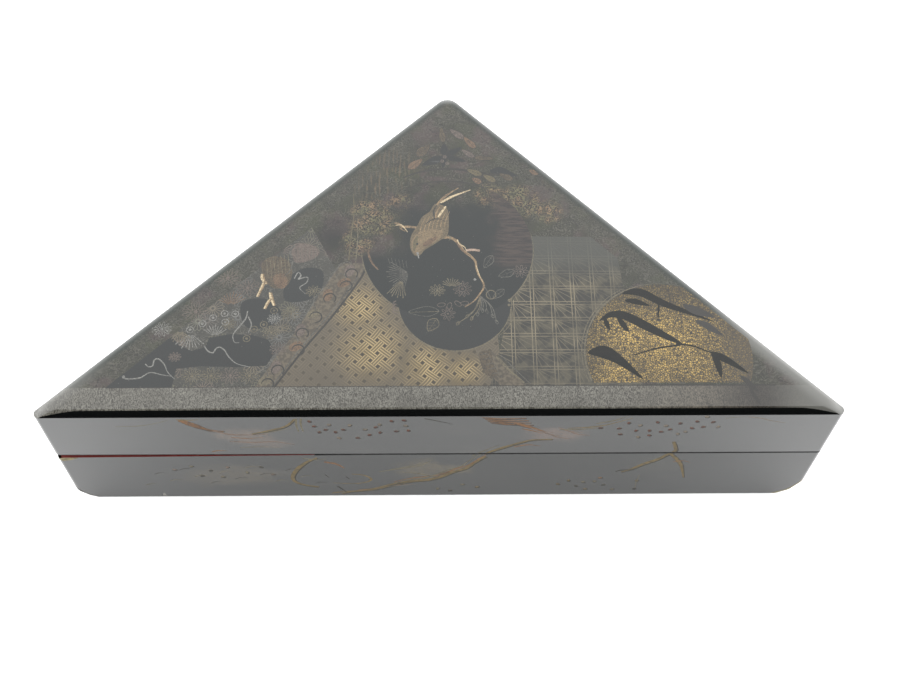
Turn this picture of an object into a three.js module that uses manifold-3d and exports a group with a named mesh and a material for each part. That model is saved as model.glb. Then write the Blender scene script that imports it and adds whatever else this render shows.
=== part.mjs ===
// A low three-cornered lacquer box, half of a square in plan, with a flush lid that lifts off.
// Millimetres, +Z up. The long side faces -Y, the square corner points to +Y and the box stands on Z = 0.

import * as THREE from "three";
import { mergeVertices } from "three/addons/utils/BufferGeometryUtils.js";
import Module from "manifold-3d";

const wasm = await Module();
wasm.setup();

// Plan
const LONG_SIDE = 300; // between the two acute corners, before they are rounded
const PLAN_DEPTH = 150; // from the long side to the back corner, before it is rounded
const BACK_CORNER_X = 4; // the back corner stands a little right of the middle
const ACUTE_RADIUS = 2;
const BACK_RADIUS = 5;

// Heights above the table
const SEAM_HEIGHT = 40.3; // where the lid meets the body
const ARRIS_HEIGHT = 72.6; // where the upright sides end in the lid's rounded shoulder
const DOME_RISE = 1.5; // from the shoulder to the highest point of the lid

// The shoulder is part of an arc: steep at the arris, level where it runs into the dome
const SHOULDER_WIDTH = 3;
const SHOULDER_START = THREE.MathUtils.degToRad(35);

// Lacquered wood
const WALL = 4.6;
const FLOOR = 5;
const LID_TOP = 4.4; // below the arris
const BASE_EDGE = 0.6; // softened edge under the body

// The lip inside the body that keeps the lid in place
const LIP_WIDTH = 2.2;
const LIP_RISE = 8; // above the seam
const LIP_EDGE = 0.5;
const GAP = 0.3; // between the lid and the body, at the seam and round the lip

// Age: the seam has opened towards the left corner, and three corners are knocked off
const OPEN_SEAM_FROM = -25; // X at which the seam starts to open
const BODY_SEAM_DROP = 1.7; // at the left corner
const LID_SEAM_LIFT = 0.4;
const LEFT_WEAR = [{ height: 8, reach: 5.7 }];
const RIGHT_WEAR = [
  { height: 13, reach: 5.2 },
  { height: 7.6, reach: 8.5 },
];
const SEAM_CHIPS = [
  { at: [-146.4, -72.4, 39.2], size: [2.6, 2.2, 1.8] }, // at the very corner, under the seam
  { at: [-141, -74.6, 38.8], size: [4.6, 1.1, 1.7] }, // flake along the seam in the long side
];

// Fineness
const ARC_STEPS = 5; // round each corner of the plan
const SIDE_STEPS = 9; // along each side of the plan
const SHOULDER_STEPS = 4;
const DOME_INSETS = [6, 14, 26, 40, 53]; // distances from the edge at which the dome has a ring

const PLAN = [
  { x: -LONG_SIDE / 2, y: 0, radius: ACUTE_RADIUS },
  { x: LONG_SIDE / 2, y: 0, radius: ACUTE_RADIUS },
  { x: BACK_CORNER_X, y: PLAN_DEPTH, radius: BACK_RADIUS },
];
const SIDES = PLAN.map((corner, i) => {
  const next = PLAN[(i + 1) % PLAN.length];
  const along = new THREE.Vector2(next.x - corner.x, next.y - corner.y);
  return { along, length: along.length(), inward: new THREE.Vector2(-along.y, along.x).normalize() };
});
const PERIMETER = SIDES.reduce((sum, side) => sum + side.length, 0);
const IN_RADIUS = (LONG_SIDE * PLAN_DEPTH) / PERIMETER;
const IN_CENTRE = inCentre();
const PLAN_CENTRE = planCentre(); // the plan above starts at Y = 0, and is moved so that this lies on the origin

// The centre of the circle that touches all three sides: insetting the plan shrinks it towards this point
function inCentre() {
  const centre = new THREE.Vector2();
  PLAN.forEach((corner, i) => {
    const opposite = SIDES[(i + 1) % SIDES.length].length;
    centre.add(new THREE.Vector2(corner.x, corner.y).multiplyScalar(opposite / PERIMETER));
  });
  return centre;
}

// The middle of the plan's bounding box, once its corners are rounded
function planCentre() {
  return new THREE.Box2().setFromPoints(outline(0)).getCenter(new THREE.Vector2());
}

// The plan moved in by a distance, with its corners rounded
function outline(inset, roundness = 0) {
  const scale = 1 - inset / IN_RADIUS;
  const corners = PLAN.map(({ x, y }) =>
    new THREE.Vector2(x, y).sub(IN_CENTRE).multiplyScalar(scale).add(IN_CENTRE),
  );
  const arcs = corners.map((corner, i) => cornerArc(corners, i, PLAN[i].radius + roundness));
  const points = [];
  arcs.forEach((arc, i) => {
    const next = arcs[(i + 1) % arcs.length];
    points.push(...arc);
    const side = new THREE.LineCurve(arc[arc.length - 1], next[0]);
    points.push(...side.getPoints(SIDE_STEPS).slice(1, -1));
  });
  return points;
}

// The points of the arc that rounds one corner, in order round the plan
function cornerArc(corners, i, radius) {
  const corner = corners[i];
  const before = corners[(i + 2) % 3].clone().sub(corner).normalize();
  const after = corners[(i + 1) % 3].clone().sub(corner).normalize();
  const halfAngle = Math.acos(before.dot(after)) / 2;
  const bisector = before.clone().add(after).normalize();
  const centre = corner.clone().addScaledVector(bisector, radius / Math.sin(halfAngle));
  const start = before.multiplyScalar(radius / Math.tan(halfAngle)).add(corner).sub(centre);
  const turn = Math.PI - 2 * halfAngle;
  const arc = new THREE.EllipseCurve(centre.x, centre.y, radius, radius, start.angle(), start.angle() + turn);
  return arc.getPoints(ARC_STEPS);
}

function ring(inset, height, roundness = 0) {
  return outline(inset, roundness).map(({ x, y }) => {
    const z = typeof height === "function" ? height(x, y) : height;
    return new THREE.Vector3(x - PLAN_CENTRE.x, y - PLAN_CENTRE.y, z);
  });
}

// Height of the dome over a point of the plan: nothing along the sides, DOME_RISE at the middle
function dome(x, y) {
  const point = new THREE.Vector2(x, y);
  let product = 1;
  SIDES.forEach(({ inward, length }, i) => {
    const altitude = (LONG_SIDE * PLAN_DEPTH) / length;
    product *= point.clone().sub(PLAN[i]).dot(inward) / (altitude / 3);
  });
  return DOME_RISE * product;
}

// Height of the shoulder above the arris at a distance in from the edge
function shoulder(inset) {
  const radius = SHOULDER_WIDTH / Math.cos(SHOULDER_START);
  const across = SHOULDER_WIDTH - Math.min(inset, SHOULDER_WIDTH);
  return Math.sqrt(radius ** 2 - across ** 2) - radius * Math.sin(SHOULDER_START);
}

// A closed skin through rings that have equally many points, with a fan over each end
function loft(rings) {
  const count = rings[0].length;
  const points = rings.flat();
  const faces = [];
  for (let start = 0; start + count < points.length; start += count) {
    for (let i = 0; i < count; i++) {
      const here = start + i;
      const next = start + ((i + 1) % count);
      faces.push(here, next, here + count);
      faces.push(next, next + count, here + count);
    }
  }
  closeEnd(points, faces, 0, count, true);
  closeEnd(points, faces, (rings.length - 1) * count, count, false);
  const geometry = new THREE.BufferGeometry().setFromPoints(points);
  geometry.setIndex(faces);
  return geometry;
}

function closeEnd(points, faces, start, count, faceDown) {
  const middle = new THREE.Vector3();
  for (let i = 0; i < count; i++) middle.addScaledVector(points[start + i], 1 / count);
  points.push(middle);
  for (let i = 0; i < count; i++) {
    const here = start + i;
    const next = start + ((i + 1) % count);
    if (faceDown) faces.push(next, here, points.length - 1);
    else faces.push(here, next, points.length - 1);
  }
}

// A prism on the plan, moved in by a distance
function prism(inset, low, high) {
  return loft([ring(inset, low), ring(inset, high)]);
}

// Turns a closed geometry into a solid that can be joined and cut
function solid(geometry) {
  geometry.deleteAttribute("normal");
  geometry.deleteAttribute("uv");
  const merged = mergeVertices(geometry, 1e-4);
  return new wasm.Manifold(
    new wasm.Mesh({
      numProp: 3,
      vertProperties: new Float32Array(merged.attributes.position.array),
      triVerts: new Uint32Array(merged.index.array),
    }),
  );
}

// A wedge along the seam that is thickest at the left corner; its rise is negative where it cuts down
function seamWedge(seam, rise) {
  const left = -LONG_SIDE / 2;
  const past = -Math.sign(rise); // carries the wedge clear of the face that it starts from
  const wedge = new THREE.Shape([
    new THREE.Vector2(OPEN_SEAM_FROM, seam),
    new THREE.Vector2(left, seam + rise),
    new THREE.Vector2(left, seam + past),
    new THREE.Vector2(OPEN_SEAM_FROM, seam + past),
  ]);
  const geometry = new THREE.ExtrudeGeometry(wedge, { depth: 2 * PLAN_DEPTH, bevelEnabled: false });
  return solid(geometry.rotateX(Math.PI / 2).translate(0, PLAN_DEPTH, 0));
}

// The piece knocked off an acute corner of the base: from a height up the corner's edge to a reach along the floor
function wornCorner(side, { height, reach }) {
  const edge = ACUTE_RADIUS * (1 / Math.sin(Math.PI / 8) - 1); // the rounded edge lies this far in from the corner
  const slope = height / reach;
  const outer = -reach;
  const cut = new THREE.Shape([
    new THREE.Vector2(outer, -1),
    new THREE.Vector2(edge + reach + 1 / slope, -1),
    new THREE.Vector2(outer, slope * (edge + reach - outer)),
  ]);
  const width = 4 * reach;
  const geometry = new THREE.ExtrudeGeometry(cut, { depth: width, bevelEnabled: false })
    .translate(0, 0, -width / 2)
    .rotateX(Math.PI / 2)
    .rotateZ(side < 0 ? Math.PI / 8 : Math.PI - Math.PI / 8)
    .translate((side * LONG_SIDE) / 2 - PLAN_CENTRE.x, -PLAN_CENTRE.y, 0);
  return solid(geometry);
}

function chip({ at, size }) {
  const geometry = new THREE.IcosahedronGeometry(1, 1).scale(...size).translate(...at);
  return solid(geometry);
}

function bodySolid() {
  const shell = solid(loft([ring(BASE_EDGE, 0), ring(0, BASE_EDGE), ring(0, SEAM_HEIGHT)]));
  const lipTop = SEAM_HEIGHT + LIP_RISE;
  const lip = solid(
    loft([
      ring(WALL + GAP, FLOOR),
      ring(WALL + GAP, lipTop - LIP_EDGE),
      ring(WALL + GAP + LIP_EDGE, lipTop),
    ]),
  );
  const hollow = solid(prism(WALL + GAP + LIP_WIDTH, FLOOR, lipTop + 1));
  let body = shell.subtract(seamWedge(SEAM_HEIGHT, -BODY_SEAM_DROP));
  SEAM_CHIPS.forEach((spec) => {
    body = body.subtract(chip(spec));
  });
  LEFT_WEAR.forEach((wear) => {
    body = body.subtract(wornCorner(-1, wear));
  });
  RIGHT_WEAR.forEach((wear) => {
    body = body.subtract(wornCorner(1, wear));
  });
  return body.add(lip).subtract(hollow);
}

function lidSolid() {
  const bottom = SEAM_HEIGHT + GAP;
  const rings = [ring(0, bottom)];
  for (let step = 0; step <= SHOULDER_STEPS; step++) {
    const inset = (SHOULDER_WIDTH * step) / SHOULDER_STEPS;
    rings.push(ring(inset, (x, y) => ARRIS_HEIGHT + shoulder(inset) + dome(x, y)));
  }
  DOME_INSETS.forEach((inset) => {
    const roundness = 0.12 * inset; // keeps the corner arcs from crowding together near the middle
    rings.push(ring(inset, (x, y) => ARRIS_HEIGHT + shoulder(inset) + dome(x, y), roundness));
  });
  const hollow = solid(prism(WALL, bottom - 1, ARRIS_HEIGHT - LID_TOP));
  return solid(loft(rings)).subtract(hollow).subtract(seamWedge(bottom, LID_SEAM_LIFT));
}

function mesh(name, manifold, material) {
  const { vertProperties, triVerts } = manifold.getMesh();
  const geometry = new THREE.BufferGeometry();
  geometry.setAttribute("position", new THREE.BufferAttribute(new Float32Array(vertProperties), 3));
  geometry.setIndex(new THREE.BufferAttribute(new Uint32Array(triVerts), 1));
  geometry.computeVertexNormals();
  const piece = new THREE.Mesh(geometry, material);
  piece.name = name;
  return piece;
}

const blackLacquer = new THREE.MeshStandardMaterial({ color: 0x14130f, roughness: 0.2, metalness: 0 });
const pictureLacquer = new THREE.MeshStandardMaterial({ color: 0x2a2318, roughness: 0.25, metalness: 0.2 });

const box = new THREE.Group();
box.add(mesh("box_body", bodySolid(), blackLacquer));
box.add(mesh("lid", lidSolid(), pictureLacquer));

export default box;
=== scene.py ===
"""The looks of a three-cornered lacquer box: the skins of its lid and body, and the picture painted on them.

Lengths are millimetres in the box's own frame, and metres() turns them into Blender's own unit.
Colours are linear, in thousandths of full light.
"""
import math
import random
from functools import lru_cache

import bmesh
import bpy
from mathutils import Matrix, Vector
from mathutils.geometry import delaunay_2d_cdt, tessellate_polygon


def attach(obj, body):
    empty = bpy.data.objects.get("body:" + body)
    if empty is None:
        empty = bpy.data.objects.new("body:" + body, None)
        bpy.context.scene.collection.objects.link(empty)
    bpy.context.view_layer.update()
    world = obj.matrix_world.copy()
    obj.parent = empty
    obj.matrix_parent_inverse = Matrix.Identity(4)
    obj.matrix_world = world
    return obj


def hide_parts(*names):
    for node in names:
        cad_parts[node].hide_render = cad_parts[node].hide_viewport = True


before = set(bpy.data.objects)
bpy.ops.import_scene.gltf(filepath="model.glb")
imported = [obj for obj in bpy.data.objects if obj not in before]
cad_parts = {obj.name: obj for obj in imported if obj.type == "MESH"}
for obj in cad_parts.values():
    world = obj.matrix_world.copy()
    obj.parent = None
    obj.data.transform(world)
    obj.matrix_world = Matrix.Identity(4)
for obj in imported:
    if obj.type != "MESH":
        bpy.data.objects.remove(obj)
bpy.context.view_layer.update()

# Plan
LONG_SIDE = 300.0
PLAN_DEPTH = 150.0
BACK_CORNER_X = 4.0
CORNER_RADII = (2.0, 2.0, 5.0)
ARC_STEPS = 8
SIDE_STEPS = (30, 21, 21)

# Heights
SEAM = 40.3
ARRIS = 72.6
DOME_RISE = 1.5
SHOULDER_WIDTH = 3.0
SHOULDER_START = math.radians(35)
SHOULDER_STEPS = 8
LID_CEILING = 68.2
FLOOR = 5.0

# Walls, lip and gaps
WALL = 4.6
GAP = 0.3
BASE_EDGE = 0.6
LIP_WIDTH = 2.2
LIP_RISE = 8.0
LIP_EDGE = 0.5

# The seam has opened towards the left corner
OPEN_SEAM_FROM = -25.0
BODY_SEAM_DROP = 1.7
LID_SEAM_LIFT = 0.4
RED_SEAM_TO = -54.0
# The painted shadow lines along the seam are this high
SEAM_SHADOW_LINE = 0.45

# Corners knocked off the body: side, cuts and what shows. Each cut is (height, reach, level, turn):
# it starts at a level, rises by a height or falls by a negative one, and reaches inwards, turned by degrees.
CORNER_ARC = CORNER_RADII[0] * (1 / math.sin(math.pi / 8) - 1)
WEAR = (
    (-1, ((8.0, 5.7, 0.0, 0), (5.2, 7.0, 0.0, 9), (9.5, 4.6, 0.0, -12)), "worn_ground"),
    (1, ((13.0, 5.2, 0.0, 0), (7.6, 8.5, 0.0, 0), (5.0, 10.0, 0.0, 8)), "bare_wood"),
    (-1, ((-1.8, 1.4, SEAM - BODY_SEAM_DROP, 0),), "worn_ground"),
)

# The painted field stays this far from the edge, and the frame line round the picture runs further in
FIELD_INSET = 3.3
FRAME_INSET = 11.4
TILE = 10.0

# Tolerances
WELD = 2e-6  # metres
SEPARATE = 1e-5  # points of the painting that lie closer than this are one
SPECK = 1e-3  # shapes with less area than this are not laid
SLIVER = 1e-4  # parts with less area than this are dropped
EDGE_MARGIN = 0.05  # the sprays keep this far from the edges of a wall
NEAR_CORNER = 40.0  # the knocked-off faces lie closer than this to their sharp corner


def metres(point):
    return Vector(point) * 0.001


# The plan


def plan_corners():
    half = LONG_SIDE / 2
    return [Vector((-half, 0)), Vector((half, 0)), Vector((BACK_CORNER_X, PLAN_DEPTH))]


CORNERS = plan_corners()
SIDES = [CORNERS[(i + 1) % 3] - CORNERS[i] for i in range(3)]
OUTWARD = [Vector((side.y, -side.x)).normalized() for side in SIDES]
ALTITUDES = [LONG_SIDE * PLAN_DEPTH / side.length for side in SIDES]
IN_RADIUS = LONG_SIDE * PLAN_DEPTH / sum(side.length for side in SIDES)


def in_centre():
    perimeter = sum(side.length for side in SIDES)
    weighted = [CORNERS[i] * (SIDES[(i + 1) % 3].length / perimeter) for i in range(3)]
    return weighted[0] + weighted[1] + weighted[2]


def shrunk_corners(inset):
    centre = in_centre()
    return [centre + (corner - centre) * (1 - inset / IN_RADIUS) for corner in CORNERS]


@lru_cache(maxsize=None)
def arc_centres(inset):
    corners = shrunk_corners(inset)
    centres = []
    for i, corner in enumerate(corners):
        bisector = -(OUTWARD[i - 1] + OUTWARD[i]).normalized()
        half_turn = OUTWARD[i - 1].angle(OUTWARD[i]) / 2
        centres.append(corner + bisector * (CORNER_RADII[i] / math.cos(half_turn)))
    return centres


def corner_arc(inset, i):
    turn = OUTWARD[i - 1].angle(OUTWARD[i]) / ARC_STEPS
    spokes = [Matrix.Rotation(turn * k, 2) @ OUTWARD[i - 1] for k in range(ARC_STEPS + 1)]
    return [arc_centres(inset)[i] + spoke * CORNER_RADII[i] for spoke in spokes]


@lru_cache(maxsize=None)
def ring(inset):
    """Points round the plan moved in by a distance. Every ring has the same number, in the same order."""
    arcs = [corner_arc(inset, i) for i in range(3)]
    points = []
    for i, arc in enumerate(arcs):
        start, end = arc[-1], arcs[(i + 1) % 3][0]
        points += arc
        points += [start.lerp(end, k / SIDE_STEPS[i]) for k in range(1, SIDE_STEPS[i])]
    return points


def centre_plan():
    points = ring(0)
    middle_x = (min(p.x for p in points) + max(p.x for p in points)) / 2
    middle_y = (min(p.y for p in points) + max(p.y for p in points)) / 2
    for corner in CORNERS:
        corner -= Vector((middle_x, middle_y))
    arc_centres.cache_clear()
    ring.cache_clear()


centre_plan()
RING_COUNT = len(ring(0))
SIDE_OF = [i for i in range(3) for _ in range(ARC_STEPS + SIDE_STEPS[i])]


def lengths_round():
    """How far round the box each point of the outer ring lies. On the long side it equals X."""
    points = ring(0)
    lengths = [points[ARC_STEPS].x]
    for i in range(ARC_STEPS, RING_COUNT + ARC_STEPS):
        here, there = points[i % RING_COUNT], points[(i + 1) % RING_COUNT]
        lengths.append(lengths[-1] + (there - here).length)
    offset = lengths[RING_COUNT] - lengths[0]
    arc = [length - offset for length in lengths[RING_COUNT - ARC_STEPS : RING_COUNT]]
    return arc + lengths[: RING_COUNT - ARC_STEPS + 1]


ROUND = lengths_round()
SIDE_STARTS = [(i + 1) * ARC_STEPS + sum(SIDE_STEPS[:i]) for i in range(3)]
SIDE_MIDDLES = [(ROUND[start] + ROUND[start + steps]) / 2 for start, steps in zip(SIDE_STARTS, SIDE_STEPS)]


def on_ring(inset, place):
    """The point at a fractional place on a ring: 3.5 lies half-way between the points 3 and 4."""
    points = ring(inset)
    low = math.floor(place)
    return points[low % RING_COUNT].lerp(points[(low + 1) % RING_COUNT], place - low)


def facing(point, inset):
    """The direction in which an upright side faces at one of its points."""
    for i, centre in enumerate(arc_centres(inset)):
        arm = point - centre
        before, after = -SIDES[i - 1].normalized(), SIDES[i].normalized()
        if arm.dot(before) <= 1e-4 and arm.dot(after) <= 1e-4 and arm.dot(OUTWARD[i - 1] + OUTWARD[i]) > 0:
            return arm.normalized()
    return OUTWARD[min(range(3), key=lambda i: (CORNERS[i] - point).dot(OUTWARD[i]))]


# Heights over the plan


def edge_shares(x, y):
    point = Vector((x, y))
    return [(CORNERS[i] - point).dot(OUTWARD[i]) / (ALTITUDES[i] / 3) for i in range(3)]


def dome(x, y):
    a, b, c = edge_shares(x, y)
    return DOME_RISE * a * b * c


def dome_slope(x, y):
    a, b, c = edge_shares(x, y)
    slope = Vector((0, 0))
    for product, outward, altitude in zip((b * c, a * c, a * b), OUTWARD, ALTITUDES):
        slope -= outward * (DOME_RISE * product / (altitude / 3))
    return slope


def shoulder_arc(inset):
    """Rise of the shoulder over the arris, and how steep it is there."""
    radius = SHOULDER_WIDTH / math.cos(SHOULDER_START)
    across = SHOULDER_WIDTH - min(inset, SHOULDER_WIDTH)
    up = math.sqrt(radius**2 - across**2)
    return up - radius * math.sin(SHOULDER_START), across / up


def lid_point(point, inset):
    return Vector((point.x, point.y, ARRIS + shoulder_arc(inset)[0] + dome(point.x, point.y)))


def lid_shade(point, inset):
    steepness = shoulder_arc(inset)[1]
    slope = dome_slope(point.x, point.y)
    side = facing(point, inset) * steepness - slope if steepness else -slope
    return Vector((side.x, side.y, 1)).normalized()


def opening(x):
    """How far the seam has opened: nothing right of OPEN_SEAM_FROM, and 1 at the left corner."""
    return min(max((x - OPEN_SEAM_FROM) / (-LONG_SIDE / 2 - OPEN_SEAM_FROM), 0), 1)


def lid_bottom(x):
    return SEAM + GAP + LID_SEAM_LIFT * opening(x)


def body_top(x):
    return SEAM - BODY_SEAM_DROP * opening(x)


# Skins: faces gathered sheet by sheet

CHART_SIZE = 1024
CHARTS = {  # left, low and pixels per millimetre of each part of the baked map
    "outer": (512, 250, 3.3),
    "side_0": (512, 505, 3.3),
    "side_1": (250, 650, 2.2),
    "side_2": (750, 650, 2.2),
    "inner": (256, 880, 1.7),
    "inner_0": (765, 750, 1.25),
    "inner_1": (765, 830, 1.25),
    "inner_2": (765, 910, 1.25),
    "chips": (100, 430, 3.3),
}
LIP_CHART_SHIFT = 10.0


def chart(name, a, b):
    left, low, scale = CHARTS[name]
    return Vector(((left + a * scale) / CHART_SIZE, (low + b * scale) / CHART_SIZE))


class Skin:
    """A closed surface. Every face brings its corners, their shading and spots on the map, and its finish."""

    def __init__(self, name, finishes):
        self.name = name
        self.finishes = finishes
        self.used = []
        self.index = {}
        self.points = []
        self.faces = []
        self.shades = []
        self.spots = []
        self.inks = []

    def corner(self, point):
        key = tuple(round(value, 4) for value in point)
        if key not in self.index:
            self.index[key] = len(self.points)
            self.points.append(point)
        return self.index[key]

    def face(self, points, shades, spots, ink):
        corners = [self.corner(point) for point in points]
        if len(set(corners)) < len(corners):
            return
        if ink not in self.used:
            self.used.append(ink)
        self.faces.append(corners)
        self.shades += shades
        self.spots += spots
        self.inks.append(self.used.index(ink))

    def bands(self, profile, ink):
        """Rings of quads through (inset, height) pairs, a height being a number or a function of X."""
        for start, end in zip(profile, profile[1:]):
            for i in range(RING_COUNT):
                shown = ink(start, end, i) if callable(ink) else ink
                self.band_face(i, start, end, shown)

    def band_face(self, i, start, end, ink):
        points, shades, spots = [], [], []
        for (inset, height), place in ((start, i), (start, i + 1), (end, i + 1), (end, i)):
            flat = on_ring(inset, place)
            low, high = (h(flat.x) if callable(h) else h for h in (start[1], end[1]))
            z = height(flat.x) if callable(height) else height
            side = facing(flat, inset) * (high - low)
            points.append(Vector((flat.x, flat.y, z)))
            shades.append(Vector((side.x, side.y, end[0] - start[0])).normalized())
            length = ROUND[i] + (place - i) * (ROUND[i + 1] - ROUND[i])
            spots.append(self.band_spot(i, flat, z, length, start, end))
        self.face(points, shades, spots, ink)

    def band_spot(self, i, flat, z, length, start, end):
        if start[0] != end[0]:
            return chart("outer" if z < BASE_EDGE * 2 else "inner", flat.x, flat.y)
        side = SIDE_OF[i]
        lift = LIP_CHART_SHIFT if start[0] < WALL + GAP + LIP_EDGE else 0
        return chart(f"inner_{side}", length - SIDE_MIDDLES[side], z + lift)

    def cap(self, inset, z, up, ink):
        """A flat face over the inside of a ring."""
        points = [Vector((p.x, p.y, z)) for p in ring(inset)]
        if not up:
            points.reverse()
        name = "outer" if z < FLOOR / 2 else "inner"
        spots = [chart(name, p.x, p.y) for p in points]
        self.face(points, [Vector((0, 0, 1 if up else -1))] * len(points), spots, ink)

    def build(self):
        mesh = bpy.data.meshes.new(self.name)
        mesh.from_pydata([metres(point) for point in self.points], [], self.faces)
        for ink in self.used:
            mesh.materials.append(self.finishes[ink])
        mesh.polygons.foreach_set("material_index", self.inks)
        shade = mesh.attributes.new("shade", "FLOAT_VECTOR", "CORNER")
        shade.data.foreach_set("vector", [value for vector in self.shades for value in vector])
        spots = mesh.uv_layers.new(name="OFBake")
        spots.data.foreach_set("uv", [value for spot in self.spots for value in spot])
        piece = bpy.data.objects.new(self.name, mesh)
        bpy.context.scene.collection.objects.link(piece)
        return piece


def weld(piece):
    work = bmesh.new()
    work.from_mesh(piece.data)
    bmesh.ops.remove_doubles(work, verts=work.verts, dist=WELD)
    bmesh.ops.triangulate(work, faces=[face for face in work.faces if len(face.verts) > 4])
    work.to_mesh(piece.data)
    work.free()


def apply_shades(piece):
    """Turns the gathered shading into the mesh's own normals. A face without it is shaded flat."""
    mesh = piece.data
    shades = mesh.attributes["shade"].data
    normals = [None] * len(mesh.loops)
    for face in mesh.polygons:
        face.use_smooth = True
        for loop in face.loop_indices:
            shade = Vector(shades[loop].vector)
            known = shade.length > 0.5 and shade.dot(face.normal) > 0
            normals[loop] = shade.normalized() if known else face.normal.copy()
    mesh.normals_split_custom_set(normals)
    mesh.attributes.remove(mesh.attributes["shade"])


# Painting: convex shapes in the order in which they are laid


def clip(points, origin, inward):
    """The part of a convex shape on the inner side of a line."""
    depths = [(p[0] - origin[0]) * inward[0] + (p[1] - origin[1]) * inward[1] for p in points]
    if min(depths) >= 0:
        return points
    kept = []
    for i, depth in enumerate(depths):
        before, here = points[i - 1], points[i]
        if (depth >= 0) != (depths[i - 1] >= 0):
            t = depths[i - 1] / (depths[i - 1] - depth)
            kept.append((before[0] + (here[0] - before[0]) * t, before[1] + (here[1] - before[1]) * t))
        if depth >= 0:
            kept.append(here)
    return kept


def area(points):
    return sum(points[i - 1][0] * p[1] - p[0] * points[i - 1][1] for i, p in enumerate(points)) / 2


def smooth(path, step, closed=False):
    """A soft curve through the points of a path."""
    path = [Vector(point) for point in path]
    if len(path) < 3:
        return path
    count = len(path) if closed else len(path) - 1
    curve = []
    for i in range(count):
        if closed:
            a, b, c, d = (path[(i + k) % len(path)] for k in (-1, 0, 1, 2))
        else:
            b, c = path[i], path[i + 1]
            a = path[i - 1] if i else b * 2 - c
            d = path[i + 2] if i + 2 < len(path) else c * 2 - b
        parts = max(1, math.ceil((c - b).length / step))
        for k in range(parts):
            t = k / parts
            bent = b * 2 + (c - a) * t + (a * 2 - b * 5 + c * 4 - d) * t**2
            curve.append((bent + (b * 3 - a - c * 3 + d) * t**3) / 2)
    return curve if closed else curve + [path[-1]]


def half_planes(inset):
    return [(corner, -outward) for corner, outward in zip(shrunk_corners(inset), OUTWARD)]


class Painting:
    """The shapes of one picture. limits are the lines that hold what is painted next."""

    def __init__(self, limits):
        self.edge = limits
        self.limits = limits
        self.shapes = []

    def lay(self, points, ink):
        points = [(p[0], p[1]) for p in points]
        for origin, inward in self.limits:
            points = clip(points, origin, inward)
            if len(points) < 3:
                return
        size = area(points)
        if abs(size) > SPECK:
            self.shapes.append((points if size > 0 else points[::-1], ink))

    def lay_quad(self, a, b, c, d, ink):
        """Four corners as one shape where they are convex, or else as two triangles."""
        corners = (a, b, c, d)
        turns = [(corners[i - 1] - corners[i - 2]).cross(corners[i] - corners[i - 1]) for i in range(4)]
        if min(turns) > 1e-6 or max(turns) < -1e-6:
            self.lay(corners, ink)
        else:
            self.lay((a, b, c), ink)
            self.lay((a, c, d), ink)

    def fill(self, outline, ink):
        outline = [Vector((p[0], p[1], 0)) for p in outline]
        for triangle in tessellate_polygon([outline]):
            self.lay([outline[i] for i in triangle], ink)

    def blob(self, outline, ink, step=1.5):
        self.fill(smooth(outline, closed=True, step=step), ink)

    def stroke(self, path, ink, width, start=0.6, end=0.3, step=1.3):
        """A brush stroke: start and end are the shares of its width at its two ends."""
        curve = smooth(path, step=step)
        sides = []
        for i, point in enumerate(curve):
            ahead = curve[min(i + 1, len(curve) - 1)] - curve[max(i - 1, 0)]
            across = Vector((-ahead.y, ahead.x)).normalized()
            t = i / (len(curve) - 1)
            swell = start + (1 - start) * min(t * 3, 1) - (1 - end) * max(t * 1.5 - 0.5, 0)
            sides.append((point + across * width * swell / 2, point - across * width * swell / 2))
        for (left, right), (next_left, next_right) in zip(sides, sides[1:]):
            self.lay_quad(right, next_right, next_left, left, ink)

    def loop(self, outline, ink, width, step=1.3):
        curve = smooth(outline, closed=True, step=step)
        middle = sum(curve, Vector((0, 0))) / len(curve)
        for i, point in enumerate(curve):
            following = curve[(i + 1) % len(curve)]
            inner, next_inner = (p + (middle - p).normalized() * width for p in (point, following))
            self.lay_quad(point, following, next_inner, inner, ink)

    def disc(self, centre, radius, ink, sides):
        turns = [math.tau * k / sides for k in range(sides)]
        self.lay([(centre[0] + radius * math.cos(t), centre[1] + radius * math.sin(t)) for t in turns], ink)


def paint_region(region, shapes, base):
    """Triangles of a convex region, each with the ink of the last shape that covers it."""
    corners, faces = [], []
    for points in [region] + [points for points, _ in shapes]:
        faces.append(list(range(len(corners), len(corners) + len(points))))
        corners += [Vector(p) for p in points]
    made = delaunay_2d_cdt(corners, [], faces, 1, SEPARATE)
    sides = [(last, (p[0] - last[0], p[1] - last[1])) for last, p in zip([region[-1], *region], region)]
    for triangle, owners in zip(made[2], made[5]):
        points = [made[0][i] for i in triangle]
        middle = (points[0] + points[1] + points[2]) / 3
        if all(ahead[0] * (middle.y - p[1]) >= ahead[1] * (middle.x - p[0]) - 1e-9 for p, ahead in sides):
            top = max(owners, default=0)
            yield points, shapes[top - 1][1] if top else base


def box_of(points):
    xs, ys = [p[0] for p in points], [p[1] for p in points]
    return min(xs), min(ys), max(xs), max(ys)


def into_window(points, window):
    low_x, low_y, high_x, high_y = window
    sides = (((low_x, 0), (1, 0)), ((high_x, 0), (-1, 0)), ((0, low_y), (0, 1)), ((0, high_y), (0, -1)))
    for origin, inward in sides:
        points = clip(points, origin, inward)
        if len(points) < 3:
            return None
    return points if abs(area(points)) > SLIVER else None


def shapes_in(shapes, window):
    found = []
    for points, ink in shapes:
        part = into_window(points, window)
        if part:
            found.append((part, ink))
    return found


def sorted_by_tile(shapes, size):
    """Shapes by the square tile that they touch."""
    tiles = {}
    for points, ink in shapes:
        low_x, low_y, high_x, high_y = box_of(points)
        for column in range(math.floor(low_x / size), math.floor(high_x / size) + 1):
            for row in range(math.floor(low_y / size), math.floor(high_y / size) + 1):
                tiles.setdefault((column, row), []).append((points, ink))
    return tiles


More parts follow.
